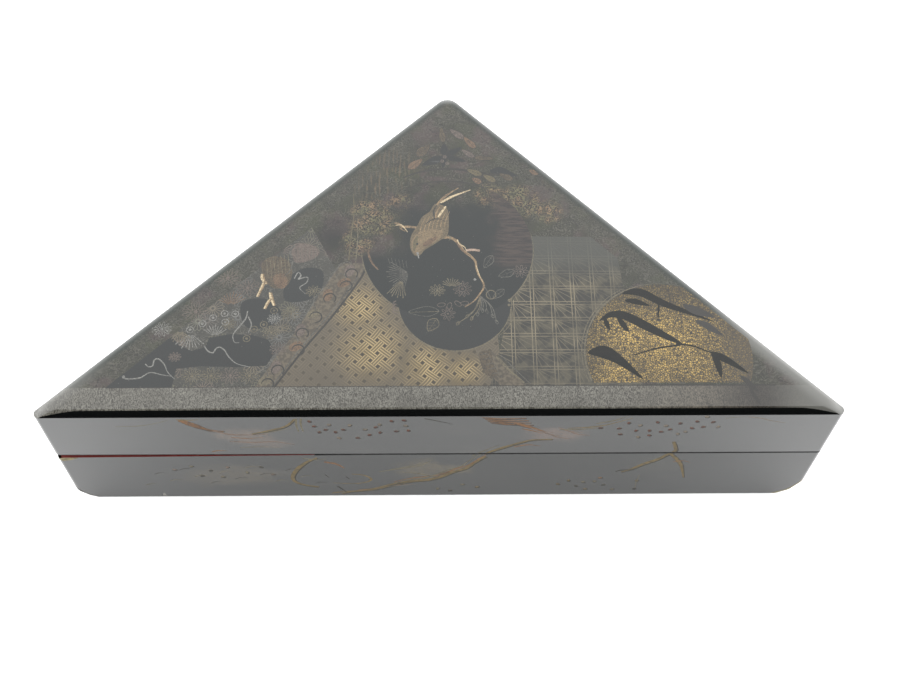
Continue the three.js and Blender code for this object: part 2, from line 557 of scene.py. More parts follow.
def rim_places():
    """Places on the shoulder's inner ring: its own points, and where it crosses the lines between tiles."""
    places = []
    for i in range(RING_COUNT):
        here, there = on_ring(SHOULDER_WIDTH, i), on_ring(SHOULDER_WIDTH, i + 1)
        found = {float(i)}
        for axis in (0, 1):
            low, high = sorted((here[axis], there[axis]))
            for line in range(math.ceil(low / TILE), math.floor(high / TILE) + 1):
                if high - low > 1e-6:
                    found.add(i + (line * TILE - here[axis]) / (there[axis] - here[axis]))
        places += sorted(place for place in found if place < i + 1 - 1e-5)
    return places


def lay_picture(skin, painting, base):
    """The lid's top inside its shoulder, cut into tiles so that each is quick to triangulate."""
    tiles = sorted_by_tile(painting.shapes, TILE)
    field = [tuple(on_ring(SHOULDER_WIDTH, place)) for place in rim_places()]
    low_x, low_y, high_x, high_y = box_of(field)
    for column in range(math.floor(low_x / TILE), math.ceil(high_x / TILE)):
        for row in range(math.floor(low_y / TILE), math.ceil(high_y / TILE)):
            window = (column * TILE, row * TILE, (column + 1) * TILE, (row + 1) * TILE)
            region = into_window(field, window)
            if not region:
                continue
            shapes = shapes_in(tiles.get((column, row), []), window)
            for triangle, ink in paint_region(region, shapes, base):
                points = [lid_point(p, SHOULDER_WIDTH) for p in triangle]
                shades = [lid_shade(p, SHOULDER_WIDTH) for p in triangle]
                skin.face(points, shades, [chart("outer", p.x, p.y) for p in triangle], ink)


def lay_shoulder(skin, front, rest):
    """The rounded shoulder, with one finish along the front and another round the corners and the slopes."""
    places = rim_places()
    insets = [SHOULDER_WIDTH * k / SHOULDER_STEPS for k in range(SHOULDER_STEPS + 1)]
    for n, place in enumerate(places):
        following = places[n + 1] if n + 1 < len(places) else float(RING_COUNT)
        for inset, next_inset in zip(insets, insets[1:]):
            corners = [(inset, place), (inset, following), (next_inset, following), (next_inset, place)]
            flats = [on_ring(i, p) for i, p in corners]
            points = [lid_point(flat, i) for flat, (i, p) in zip(flats, corners)]
            shades = [lid_shade(flat, i) for flat, (i, p) in zip(flats, corners)]
            ink = front if ARC_STEPS <= place < ARC_STEPS + SIDE_STEPS[0] else rest
            skin.face(points, shades, [chart("outer", flat.x, flat.y) for flat in flats], ink)


def lay_wall(skin, painting, base, low, high, extra_places=()):
    """The upright side, cut at every point of the ring. low and high give its edges as functions of X."""
    spans = [(box_of(points), points, ink) for points, ink in painting.shapes]
    for i in range(RING_COUNT):
        left, right = ROUND[i], ROUND[i + 1]
        places = [i] + [p for p in extra_places if i < p < i + 1] + [i + 1]
        along = [left + (p - i) * (right - left) for p in places]
        flats = [on_ring(0, p) for p in places]
        bottom = [(left, low(flats[0])), (right, low(flats[-1]))]
        top = [(a, high(flat)) for a, flat in zip(along, flats)]
        window = (left, max(z for a, z in bottom) + EDGE_MARGIN, right, min(z for a, z in top) - EDGE_MARGIN)
        near = [(points, ink) for box, points, ink in spans if box[0] < right and box[2] > left]
        shapes = shapes_in(near, window)
        side = SIDE_OF[i]
        floor = low(Vector((LONG_SIDE, 0)))
        for triangle, ink in paint_region(bottom + top[::-1], shapes, base):
            points, shades, spots = [], [], []
            for length, z in triangle:
                flat = on_ring(0, i + min(max((length - left) / (right - left), 0), 1))
                side_shade = facing(flat, 0)
                points.append(Vector((flat.x, flat.y, z)))
                shades.append(Vector((side_shade.x, side_shade.y, 0)))
                spots.append(chart(f"side_{side}", length - SIDE_MIDDLES[side], z - floor))
            skin.face(points, shades, spots, ink)


# Finishes


class Nodes:
    """A tree of nodes. Its methods add a node and give what it puts out."""

    def __init__(self, tree):
        self.tree = tree

    def node(self, kind, inputs=(), **settings):
        node = self.tree.nodes.new("ShaderNode" + kind)
        for key, value in settings.items():
            setattr(node, key, value)
        for socket, value in inputs.items() if isinstance(inputs, dict) else enumerate(inputs):
            self.feed(node.inputs[socket], value)
        return node

    def feed(self, socket, value):
        if isinstance(value, bpy.types.NodeSocket):
            self.tree.links.new(value, socket)
        elif socket.type == "RGBA":
            socket.default_value = (*(part / 1000 for part in value), 1)
        else:
            socket.default_value = value

    def math(self, operation, *values):
        return self.node("Math", values, operation=operation).outputs[0]

    def times(self, a, b):
        return self.math("MULTIPLY", a, b)

    def plus(self, a, b):
        return self.math("ADD", a, b)

    def less(self, a, b):
        return self.math("SUBTRACT", a, b)

    def ramp(self, value, slope, start):
        return self.math("MULTIPLY_ADD", value, slope, start)

    def size(self, value):
        return self.math("ABSOLUTE", value)

    def between(self, value, low, high, start=0.0, end=1.0):
        """start at low, end at high and smooth in between; low may lie above high."""
        inputs = {"Value": value, "From Min": low, "From Max": high, "To Min": start, "To Max": end}
        return self.node("MapRange", inputs, interpolation_type="SMOOTHSTEP").outputs[0]


class Finish(Nodes):
    """One finish. Places are in millimetres."""

    def __init__(self, name):
        self.material = bpy.data.materials.new(name)
        self.material.use_nodes = True
        super().__init__(self.material.node_tree)
        self.shader = self.tree.nodes["Principled BSDF"]
        self.place = self.scaled(self.node("TexCoord").outputs["Object"], 1000)

    def split(self, axis):
        return self.node("SeparateXYZ", (self.place,)).outputs[axis]

    def scaled(self, vector, factor):
        if isinstance(factor, (int, float)):
            factor = (factor, factor, factor)
        return self.node("VectorMath", (vector, factor), operation="MULTIPLY").outputs[0]

    def moved(self, vector, push):
        return self.node("VectorMath", (vector, push), operation="ADD").outputs[0]

    def noise(self, size, detail, stretch=(1, 1, 1), place=None):
        """Soft noise with lumps of a size in millimetres, drawn out along the axes by the stretch."""
        place = self.scaled(place or self.place, tuple(1 / (size * s) for s in stretch))
        return self.node("TexNoise", {"Vector": place, "Scale": 1.0, "Detail": detail}).outputs["Fac"]

    def cells(self, size, feature="F1"):
        place = self.scaled(self.place, 1 / size)
        return self.node("TexVoronoi", {"Vector": place, "Scale": 1.0}, feature=feature)

    def mix(self, share, under, over):
        node = self.node("Mix", data_type="RGBA")
        for socket, value in zip((node.inputs[0], node.inputs[6], node.inputs[7]), (share, under, over)):
            self.feed(socket, value)
        return node.outputs[2]

    def along(self, degrees):
        """Distance in the lid's plane along a direction."""
        direction = (math.cos(math.radians(degrees)), math.sin(math.radians(degrees)), 0)
        return self.node("VectorMath", (self.place, direction), operation="DOT_PRODUCT").outputs[1]

    def lines(self, distance, pitch, width, blur):
        """1 on lines that lie a pitch apart, 0 between them."""
        off = self.math("PINGPONG", distance, pitch / 2)
        return self.between(off, width / 2 + blur, width / 2 - blur)

    def reach(self, x, y):
        return self.math("SQRT", self.plus(self.math("POWER", x, 2), self.math("POWER", y, 2)))

    def glow(self, x, y, radius, soft=1.0):
        """1 at a spot of the lid, falling to 0 at a radius."""
        flat = self.scaled(self.moved(self.place, (-x, -y, 0)), (1, 1, 0))
        distance = self.node("VectorMath", (flat,), operation="LENGTH").outputs[1]
        return self.between(distance, radius, radius * (1 - soft))

    def most(self, *values):
        result = values[0]
        for value in values[1:]:
            result = self.math("MAXIMUM", result, value)
        return result

    def surface(self, colour, roughness=0.16, metal=0.0, level=0.5, grain=None, depth=0.0):
        """Lacquer over the colour, a little uneven in its polish, with the relief of a grain if given."""
        rubbed = self.noise(14, 4, (3, 1, 1))
        uneven = self.ramp(rubbed, 0.12, roughness - 0.06)
        self.feed(self.shader.inputs["Base Color"], colour)
        self.feed(self.shader.inputs["Roughness"], uneven)
        self.shader.inputs["Metallic"].default_value = metal
        self.shader.inputs["Specular IOR Level"].default_value = 0.0 if metal else level
        self.shader.inputs["Coat Weight"].default_value = 1.0 if metal else 0.0
        self.shader.inputs["Coat Roughness"].default_value = 0.12
        if grain is not None:
            bump = self.node("Bump", {"Height": grain, "Strength": 0.6, "Distance": depth * 0.001})
            self.feed(self.shader.inputs["Normal"], bump.outputs[0])
        return self.material


# The finishes of the picture

BLACK = (4, 5, 5)


def curls(f, size, count, width, stretch=(1, 1, 1)):
    """Thin curling lines: the contours of a soft noise."""
    return f.lines(f.times(f.noise(size, 1, stretch), count), 1, width, 0.1)


def dusty(f, colour):
    """A colour with a few specks of dust."""
    specks = f.between(f.cells(2.6).outputs["Distance"], 0.09, 0.04)
    return f.mix(f.times(specks, 0.35), colour, (90, 85, 75))


def black_finish():
    f = Finish("black_lacquer")
    colour = f.mix(f.noise(30, 3), BLACK, (8, 10, 10))
    return f.surface(dusty(f, colour), level=0.45)


def from_side(f, i):
    """Distance in from a side of the lid."""
    turn = math.degrees(math.atan2(OUTWARD[i].y, OUTWARD[i].x))
    return f.less(CORNERS[i].dot(OUTWARD[i]), f.along(turn))


def field_colour(f):
    """The dusted ground: drifts of grey, rose and olive, with squiggles, strokes and curls of gold."""
    colour = f.mix(f.noise(10, 3), (5, 6, 3), (20, 20, 14))
    rosy = f.between(f.noise(13, 2, place=f.moved(f.place, (40, 0, 0))), 0.50, 0.62)
    olive = f.between(f.noise(11, 2, place=f.moved(f.place, (0, 70, 0))), 0.50, 0.64)
    colour = f.mix(f.times(rosy, 0.7), colour, (26, 17, 17))
    colour = f.mix(f.times(olive, 0.7), colour, (15, 17, 8))
    patches = f.between(f.noise(6, 2), 0.32, 0.60)
    squiggles = f.times(curls(f, 2.6, 6, 0.24), patches)
    colour = f.mix(f.times(squiggles, 0.6), colour, (50, 47, 38))
    shade = f.times(curls(f, 3.3, 5, 0.26), f.between(f.noise(7, 2), 0.62, 0.40))
    colour = f.mix(f.times(shade, 0.6), colour, (3, 3, 3))
    colour = f.mix(f.times(f.glow(-42, 2, 13), 0.85), colour, (2, 3, 3))
    brown = f.most(f.glow(-20, 36, 17), f.glow(-26, 28, 12), f.times(f.glow(30, -4, 14), 0.7))
    drift = f.ramp(f.noise(6, 2, (1, 2, 1)), 3.0, f.split("X"))
    strokes = f.times(f.lines(drift, 1.7, 0.7, 0.2), f.between(f.noise(2.4, 2, (0.7, 2.4, 1)), 0.42, 0.58))
    colour = f.mix(f.times(f.times(strokes, brown), 0.6), colour, (60, 42, 24))
    spots = ((-26, 12, 12), (-32, 0, 8), (-15, 19, 6), (32, 20, 10), (43, 15, 7), (20, 22, 8))
    gilded = f.most(*(f.glow(x, y, radius, 0.45) for x, y, radius in spots))
    gilded = f.times(gilded, f.times(f.between(f.noise(5, 3), 0.30, 0.56), 0.85))
    wisps = f.most(curls(f, 2, 5, 0.34), f.times(curls(f, 1.3, 5, 0.3), 0.6))
    gold = f.mix(f.between(f.noise(4, 2), 0.35, 0.62), (112, 74, 40), (70, 64, 32))
    return f.mix(gilded, colour, f.mix(wisps, (4, 3, 3), gold))


def front_colour(f):
    """The border in front: crinkled silver grey that darkens towards the right, its lighter left part a
    painted broad highlight.
    """
    fine = f.times(curls(f, 1.5, 5, 0.30, (0.6, 1.4, 1)), 0.75)
    crinkles = f.most(curls(f, 2.1, 6, 0.28, (0.6, 1.4, 1)), fine)
    ground = f.mix(f.noise(7, 3), (12, 11, 9), (40, 38, 32))
    # painted highlight: the crinkles are lighter at the left, where a broad reflection of the lamp lies, and
    # darken towards the right
    light = f.mix(f.between(f.split("X"), 55, 100), (110, 107, 92), (78, 68, 54))
    colour = f.mix(f.times(crinkles, f.ramp(f.noise(9, 2), 0.9, 0.3)), ground, light)
    dim = f.times(f.between(f.split("X"), 92, 116), f.between(f.split("X"), 140, 122))
    colour = f.mix(f.times(dim, 0.75), colour, (8, 7, 6))
    return f.mix(f.between(f.split("X"), 116, 138), colour, (50, 50, 45))


def field_finish():
    """The ground of the picture, with its border of small curling sprays that is brightest in front, where a
    broad highlight is painted in; a painted reflection lightens the slopes near the two front corners.
    """
    f = Finish("dusted_ground")
    front, slopes = from_side(f, 0), f.math("MINIMUM", from_side(f, 1), from_side(f, 2))
    fringe = f.times(curls(f, 2.2, 7, 0.26, (1.3, 0.8, 1)), f.between(slopes, 13, 8))
    colour = f.mix(f.times(fringe, 0.55), field_colour(f), (44, 42, 36))
    colour = f.mix(f.times(f.between(slopes, 5.0, 2.0), 0.8), colour, (3, 8, 6))
    colour = f.mix(f.between(front, FRAME_INSET + 0.1, FRAME_INSET - 0.1), colour, front_colour(f))
    # painted reflection: the slopes turn a lighter grey near the two front corners, where the rounded edge
    # mirrors the bright room
    painted_corner_reflection = f.most(f.glow(142, -66, 62, 0.55), f.times(f.glow(-142, -66, 30, 0.9), 0.6))
    painted_corner_reflection = f.times(painted_corner_reflection, f.between(slopes, 8, 2))
    return f.surface(f.mix(f.times(painted_corner_reflection, 0.85), colour, (96, 96, 90)), roughness=0.2, level=0.44)


def edge_finish():
    """The plain black shoulder in front, narrower near its ends, with the border's colours over it."""
    f = Finish("shoulder_black")
    width = f.times(f.between(f.size(f.split("X")), 149.5, 130), 2.15)
    over = f.between(f.less(from_side(f, 0), width), -0.1, 0.15)
    return f.surface(f.mix(over, (1.6, 1.8, 1.8), front_colour(f)), roughness=0.08)


def haze_finish():
    """The black of the upper roundel, which gives way to the dusted ground at its top and left."""
    f = Finish("dusted_black")
    x, y = f.split("X"), f.split("Y")
    ragged = f.ramp(f.noise(6, 3), 12, -6)
    high = f.times(f.between(f.plus(y, ragged), 12, 24), 0.8)
    left = f.between(f.plus(x, ragged), -12, -20)
    left = f.times(left, f.between(y, -9, 0))
    colour = f.mix(f.most(high, left), dusty(f, (4, 6, 6)), field_colour(f))
    right = f.times(f.between(f.plus(x, ragged), 18, 25), f.between(y, -14, -8))
    ripples = f.between(f.noise(1.6, 3, (4, 0.5, 1)), 0.40, 0.60)
    water = f.mix(ripples, (10, 8, 8), (26, 19, 16))
    return f.surface(f.mix(f.times(right, 0.85), colour, water), level=0.43)


def lattice_finish():
    """Basket weave: ribbons of three gold lines that pass over and under each other, dark between them."""
    f = Finish("woven_gold")
    pitch, ribbon = 3.9, 2.7
    offs, indices = [], []
    wobble = f.ramp(f.noise(16, 2), 1.6, -0.8)
    for degrees in (-40, 50):
        distance = f.plus(f.along(degrees), wobble)
        offs.append(f.math("PINGPONG", distance, pitch / 2))
        indices.append(f.math("FLOOR", f.math("DIVIDE", f.plus(distance, pitch / 2), pitch)))
    lines = []
    for off in offs:
        outer = f.between(f.size(f.less(off, ribbon * 0.37)), 0.26, 0.10)
        lines.append(f.most(outer, f.between(off, 0.24, 0.10)))
    over, under = (f.between(off, ribbon / 2 + 0.1, ribbon / 2 - 0.1) for off in offs)
    turn = f.math("PINGPONG", f.plus(*indices), 1)
    first = f.times(over, f.less(1, f.times(under, turn)))
    second = f.times(under, f.less(1, first))
    line = f.most(f.times(first, lines[0]), f.times(second, lines[1]))
    cover = f.most(first, second)
    # painted highlight: the weave is brighter round these spots at the lower left, where a broad reflection
    # of the lamp lies
    bright = f.most(f.glow(-25, -48, 20), f.glow(-5, -55, 17), f.glow(-30, -30, 15), f.glow(8, -57, 12))
    worn = f.times(f.between(f.noise(10, 3), 0.25, 0.6), f.ramp(bright, 0.65, 0.35))
    holes = f.mix(bright, (22, 17, 9), (10, 6, 1))
    ground = f.mix(cover, holes, f.mix(bright, (38, 31, 20), (58, 42, 16)))
    gold = f.mix(bright, (84, 67, 42), (215, 160, 75))
    return f.surface(f.mix(f.times(line, worn), ground, gold), 0.24, metal=0.35)


SQUARE = (7.75, 6.95)


def grid_finish():
    """Squares of double gold lines, each with a fan of rays out of its upper left corner."""
    f = Finish("squares_and_fans")
    x, y = f.split("X"), f.split("Y")
    u = f.math("DIVIDE", f.plus(x, -27.2), SQUARE[0])
    v = f.math("DIVIDE", f.plus(y, 62.4), SQUARE[1])
    in_u, in_v = f.math("FRACT", u), f.math("FRACT", v)
    from_top = f.less(1, in_v)
    angle = f.math("ARCTAN2", from_top, in_u)
    radius = f.reach(in_u, from_top)
    spread = f.times(f.math("PINGPONG", angle, math.pi / 20), radius)
    ray = f.between(f.times(spread, 7.3), 0.22, 0.08)
    slant = f.between(f.size(f.less(angle, math.radians(45))), 0.70, 0.45)
    rays = f.times(f.times(ray, slant), f.between(radius, 0.12, 0.3))
    sides = [f.math("PINGPONG", f.times(along, size), size / 2) for along, size in zip((u, v), SQUARE)]
    double = [f.between(f.size(f.less(side, 0.62)), 0.24, 0.10) for side in sides]
    worn = f.between(f.noise(8, 3), 0.30, 0.62)
    middle = f.times(f.between(y, 0, -18), f.between(y, -66, -38))
    strength = f.times(f.ramp(worn, 0.65, 0.35), f.ramp(middle, 0.6, 0.4))
    upright = f.ramp(f.between(x, 62, 50), 0.35, 0.65)
    cell = f.node("CombineXYZ", (f.math("FLOOR", u), f.math("FLOOR", v))).outputs[0]
    chance = f.node("TexWhiteNoise", {"Vector": cell}).outputs["Value"]
    rays = f.times(rays, f.ramp(chance, 0.6, 0.15))
    figure = f.most(double[0], f.times(double[1], 0.8), rays)
    line = f.times(f.times(figure, strength), upright)
    blots = f.between(f.noise(4.5, 2), 0.42, 0.62)
    ground = f.mix(blots, (6, 6, 4), (26, 23, 14))
    ground = f.mix(f.between(y, -20, -4), ground, (20, 21, 17))
    gold = f.mix(f.between(y, -22, -6), (98, 82, 52), (47, 45, 34))
    return f.surface(f.mix(line, ground, gold), 0.2, metal=0.2)


def flowers_on(f, size, petals, colour, shift):
    """Lays round flowers of many narrow petals over a colour, one in each cell of a scatter."""
    place = f.scaled(f.moved(f.place, shift), 1 / size)
    cell = f.node("TexVoronoi", {"Vector": place, "Scale": 1.0, "Randomness": 0.8}, voronoi_dimensions="2D")
    spot = f.node("VectorMath", (place, cell.outputs["Position"]), operation="SUBTRACT").outputs[0]
    spot = f.node("SeparateXYZ", (f.scaled(spot, (1, 1, 0)),)).outputs
    radius = f.reach(spot[0], spot[1])
    turn = f.math("PINGPONG", f.math("ARCTAN2", spot[1], spot[0]), math.pi / petals)
    parting = f.between(f.times(f.times(turn, radius), size), 0.20, 0.06)
    reach = f.ramp(turn, petals * 0.035, 0.40)
    inside = f.between(radius, reach, 0.36)
    rim = f.between(f.times(f.size(f.less(radius, reach)), size), 0.24, 0.08)
    heart = f.between(f.size(f.less(radius, 0.10)), 0.05, 0.02)
    open_part = f.times(inside, f.between(radius, 0.10, 0.16))
    figure = f.most(f.times(parting, open_part), rim, heart)
    kind = f.node("SeparateColor", (cell.outputs["Color"],)).outputs
    tint = f.mix(f.between(kind[0], 0.35, 0.65), (72, 56, 44), (66, 64, 40))
    tint = f.mix(f.between(kind[1], 0.6, 0.8), tint, (62, 64, 60))
    ground = f.mix(f.times(inside, 0.6), colour, (14, 13, 11))
    return f.mix(f.times(figure, f.ramp(kind[2], 0.4, 0.5)), ground, tint)


def meadow_finish():
    """A dark ground crowded with round flowers."""
    f = Finish("dusted_meadow")
    ground = f.mix(f.noise(8, 3), (6, 7, 6), (22, 21, 16))
    spray = f.times(curls(f, 2.4, 6, 0.22), f.between(f.noise(6, 2), 0.35, 0.6))
    ground = f.mix(f.times(spray, 0.6), ground, (52, 50, 42))
    flowers = flowers_on(f, 8.6, 16, ground, (3, 5, 0))
    share = f.between(f.noise(14, 2), 0.34, 0.46)
    return f.surface(f.mix(share, ground, flowers), 0.2)


def band_finish():
    f = Finish("dusted_band")
    dust = f.between(f.noise(1.1, 2), 0.40, 0.62)
    ground = f.mix(f.noise(9, 3), (16, 14, 10), (36, 29, 19))
    return f.surface(f.mix(f.times(dust, 0.6), ground, (66, 54, 36)), 0.2)


def grain_finish():
    """Fine gold grains that thin out to a brown haze at the right, brightest round a painted highlight near
    the middle of the disc.
    """
    f = Finish("gold_grains")
    edge = f.cells(0.8, feature="DISTANCE_TO_EDGE").outputs["Distance"]
    grain = f.between(edge, 0.04, 0.20)
    lit = f.node("SeparateColor", (f.cells(0.8).outputs["Color"],)).outputs[0]
    thin = f.between(f.split("X"), 96, 116)
    high = f.times(f.between(f.split("Y"), -34, -22), 0.7)
    density = f.between(f.noise(8, 3), 0.30, 0.62)
    share = f.times(grain, f.ramp(f.between(lit, 0.1, 0.7), 0.6, 0.4))
    share = f.times(share, f.ramp(density, 0.35, 0.65))
    share = f.times(share, f.ramp(f.most(thin, high), -0.6, 1))
    # painted highlight: the grains are brightest round these spots near the middle of the disc
    glow = f.most(f.glow(88, -46, 24), f.glow(70, -40, 14), f.glow(66, -58, 12))
    gold = f.mix(glow, (115, 78, 20), (300, 200, 50))
    ground = f.mix(thin, (6, 4, 1), (18, 14, 9))
    return f.surface(f.mix(share, ground, gold), 0.25, metal=0.35, grain=grain, depth=0.03)


def metal_finish(name, dark, light, metal=0.6, wear=0.35):
    """Metal powder laid in lacquer, rubbed thin in places."""
    f = Finish(name)
    powder = f.between(f.noise(0.5, 2), 0.30, 0.60)
    rubbed = f.times(f.between(f.noise(3.4, 3), 0.52, 0.36), wear)
    colour = f.mix(powder, dark, light)
    return f.surface(f.mix(rubbed, colour, tuple(c * 0.22 for c in dark)), 0.28, metal=metal)


def plain_finish(name, colour, other, size, roughness=0.2, level=0.5):
    f = Finish(name)
    return f.surface(f.mix(f.noise(size, 3), colour, other), roughness, level=level)


def side_finish(name, dark, light, level=0.25):
    """Thin gold and brown lacquer of the sprays, duller than the black round it."""
    f = Finish(name)
    worn = f.times(f.between(f.noise(2.2, 3), 0.50, 0.36), 0.5)
    colour = f.mix(f.between(f.noise(0.7, 2), 0.3, 0.6), dark, light)
    return f.surface(f.mix(worn, colour, tuple(c * 0.4 for c in dark)), 0.3, level=level)


def side_wall_finish(name, level):
    """The black of the sides, with faded clouds of rose and gold dust on the front, and a painted reflection
    that lightens the front towards its ends.
    """
    f = Finish(name)
    colour = f.mix(f.noise(24, 3), (4, 5, 5), (10, 11, 10))
    clouds = (
        ((-73, 57, 15, 8), (42, 29, 20)), ((-64, 50, 11, 5), (34, 24, 17)), ((42, 57, 15, 8), (46, 30, 22)),
        ((-7, 27, 13, 11), (34, 27, 14)), ((6, 26, 9, 6), (34, 28, 16)), ((-84, 21, 30, 13), (30, 25, 16)),
        ((85, 30, 16, 10), (14, 14, 11)),
    )
    front = f.between(f.split("Y"), -70, -72)
    for (x, z, reach, rise), tint in clouds:
        spot = f.scaled(f.moved(f.place, (-x, 0, -z)), (1 / reach, 0, 1 / rise))
        distance = f.node("VectorMath", (spot,), operation="LENGTH").outputs[1]
        ragged = f.ramp(f.noise(5, 3, (2, 1, 1)), 1.1, -0.55)
        share = f.times(f.between(f.plus(distance, ragged), 1.0, 0.35), front)
        colour = f.mix(f.times(share, f.between(f.noise(1.3, 2), 0.25, 0.6)), colour, tint)
    # painted reflection: the front is lighter towards both ends, where it mirrors floor that lies less in the
    # box's shadow
    ends = f.between(f.size(f.split("X")), 70, 140)
    colour = f.mix(f.times(ends, front), colour, (24, 25, 25))
    rubs = f.between(f.noise(7, 4, (4, 1, 0.5)), 0.60, 0.72)
    return f.surface(f.mix(f.times(rubs, 0.5), colour, (22, 21, 18)), level=level)


def red_finish():
    f = Finish("red_lacquer")
    colour = f.mix(f.noise(9, 3), (115, 18, 15), (70, 12, 11))
    return f.surface(colour, roughness=0.28)


def make_finishes():
    return {
        "black": black_finish(),
        "leaf_black": plain_finish("painted_black", (3, 4, 4), (9, 9, 8), 2.5, 0.25, 0.28),
        "haze": haze_finish(),
        "field": field_finish(),
        "lattice": lattice_finish(),
        "grid": grid_finish(),
        "meadow": meadow_finish(),
        "band": band_finish(),
        "grain": grain_finish(),
        "bright_gold": metal_finish("bright_gold", (120, 90, 50), (300, 240, 150), wear=0.2),
        "gold": metal_finish("gold", (55, 36, 18), (135, 92, 48)),
        "gold_leaf": metal_finish("tarnished_gold", (26, 21, 10), (55, 45, 22)),
        "dull_gold": metal_finish("dull_gold", (28, 24, 14), (66, 56, 34)),
        "faint_line": metal_finish("faint_line", (14, 14, 12), (48, 46, 38), 0.3, 0.6),
        "dark_line": plain_finish("dark_line", (3, 3, 2), (9, 8, 6), 3),
        "brown": metal_finish("brown_gold", (12, 9, 5), (38, 28, 15), 0.3),
        "bird": metal_finish("bird_brown", (30, 22, 11), (58, 44, 24), 0.3, 0.2),
        "breast": metal_finish("bird_gold", (50, 36, 18), (92, 66, 36), 0.3, 0.2),
        "orange": metal_finish("orange_gold", (26, 15, 8), (68, 42, 23), 0.3),
        "rose": metal_finish("rose_gold", (24, 18, 14), (58, 45, 37), 0.3),
        "rose_light": metal_finish("pale_rose", (100, 70, 50), (200, 145, 110), 0.3),
        "silver": metal_finish("tarnished_silver", (40, 40, 36), (105, 104, 96), 0.5),
        "side_gold": side_finish("side_gold", (35, 24, 6), (72, 49, 14), 0.14),
        "side_dim": side_finish("side_dim", (30, 25, 11), (56, 47, 22), 0.18),
        "side_orange": side_finish("side_orange", (46, 18, 3), (85, 36, 8), 0.14),
        "side_rose": side_finish("side_rose", (44, 28, 18), (70, 46, 31), 0.18),
        "side_brown": side_finish("side_brown", (32, 22, 12), (60, 42, 22)),
        "rust": side_finish("rust", (22, 5, 2), (48, 13, 6), 0.08),
        "dark_stroke": side_finish("dark_stroke", (6, 6, 4), (14, 13, 9), 0.12),
        "flake": side_finish("flake", (90, 90, 80), (150, 145, 130), 0.1),
        "bare_wood": side_finish("bare_wood", (55, 46, 14), (120, 98, 36), 0.1),
        "worn_ground": side_finish("worn_ground", (20, 14, 8), (75, 55, 30), 0.15),
        "side": side_wall_finish("side_black", 0.48),
        # painted shade: the body's copy of the side black reflects less, so the lower wall comes out darker,
        # as where it mirrors the shaded floor near the box
        "low_side": side_wall_finish("side_black_shaded_below", 0.33),
        "edge": edge_finish(),
        "seam": plain_finish("seam_shadow", (1, 1, 1), (3, 3, 3), 8, 0.5, 0.05),
        "red": red_finish(),
    }


# The picture on the lid

CARTOUCHE = ((3.1, -2.5, 33.0), (5.6, -26.8, 21.3))  # two overlapping roundels: x, y, radius
ROUNDEL = (85, -50, 31.0)
FRAME_LOW = -62.5
BUD = 1.4


def arc_points(centre, radius, start, end, steps=24):
    """Points of an arc, its angles in degrees."""
    turns = [math.radians(start + (end - start) * k / steps) for k in range(steps + 1)]
    return [(centre[0] + radius * math.cos(t), centre[1] + radius * math.sin(t)) for t in turns]


def oval(centre, across, along, turn=0, sides=10):
    """Points of an oval that is turned by an angle in degrees."""
    c, s = math.cos(math.radians(turn)), math.sin(math.radians(turn))
    points = []
    for k in range(sides):
        x, y = across * math.cos(math.tau * k / sides), along * math.sin(math.tau * k / sides)
        points.append((centre[0] + x * c - y * s, centre[1] + x * s + y * c))
    return points


def rays(painting, centre, inner, outer, start, end, count, ink, width):
    """Strokes that spread from a centre, between two angles in degrees."""
    for k in range(count):
        t = math.radians(start + (end - start) * (k + 0.5) / count)
        ray = (math.cos(t), math.sin(t))
        reach = outer * (1 - 0.12 * (k % 2))
        path = [(centre[0] + ray[0] * r, centre[1] + ray[1] * r) for r in (inner, reach)]
        painting.stroke(path, ink, width, 0.5, 0.9, step=9)


def daisy(painting, centre, radius, petals, ink, turn, squash=0.8):
    """A flower of outlined petals."""
    for k in range(petals):
        t = math.tau * k / petals + math.radians(turn)
        reach = radius * 0.62
        x, y = centre[0] + reach * math.cos(t), centre[1] + reach * squash * math.sin(t)
        outline = oval((x, y), radius * 0.36, radius * 1.5 / petals, math.degrees(t), 8)
        painting.loop(outline, ink, 0.28, step=3)
    painting.disc(centre, radius * 0.16, ink, 6)


def leaf(painting, base, tip, width, ink, filled=None, veins=3):
    """A pointed leaf drawn in outline, with its midrib and a few veins."""
    base, tip = Vector(base), Vector(tip)
    across = Vector((base.y - tip.y, tip.x - base.x)).normalized() * width / 2
    outline = [base, base.lerp(tip, 0.3) + across, base.lerp(tip, 0.65) + across * 0.8, tip]
    outline += [base.lerp(tip, 0.65) - across * 0.8, base.lerp(tip, 0.3) - across]
    if filled:
        painting.blob(outline, filled)
    painting.loop(outline, ink, 0.3, step=1.8)
    if veins:
        painting.stroke([base, tip], ink, 0.28, step=9)
    for k in range(veins):
        root = base.lerp(tip, (k + 0.8) / (veins + 1))
        for sign in (1, -1):
            end = root + across * sign * 0.7 + (tip - base) * 0.12
            painting.stroke([root, end], ink, 0.2, step=9)


def bud(painting, root, tip, ink):
    """A bud or berry hanging from a stem."""
    root, tip = Vector(root), Vector(tip)
    sag = Vector((root.y - tip.y, tip.x - root.x)) * 0.12
    painting.stroke([root, root.lerp(tip, 0.5) + sag, tip], ink, 0.35, 0.8, 0.8)
    turn = math.degrees((tip - root).angle_signed(Vector((0, -1))))
    painting.loop(oval(tip, BUD * 0.42, BUD * 0.75, turn), ink, 0.3, step=2)


def berries(painting, places, ink, radius):
    """Rings with a dot in the middle."""
    for place in places:
        painting.loop(oval(place, radius, radius, 0, 9), ink, 0.32, step=3)
        painting.disc(place, radius * 0.38, ink, 6)


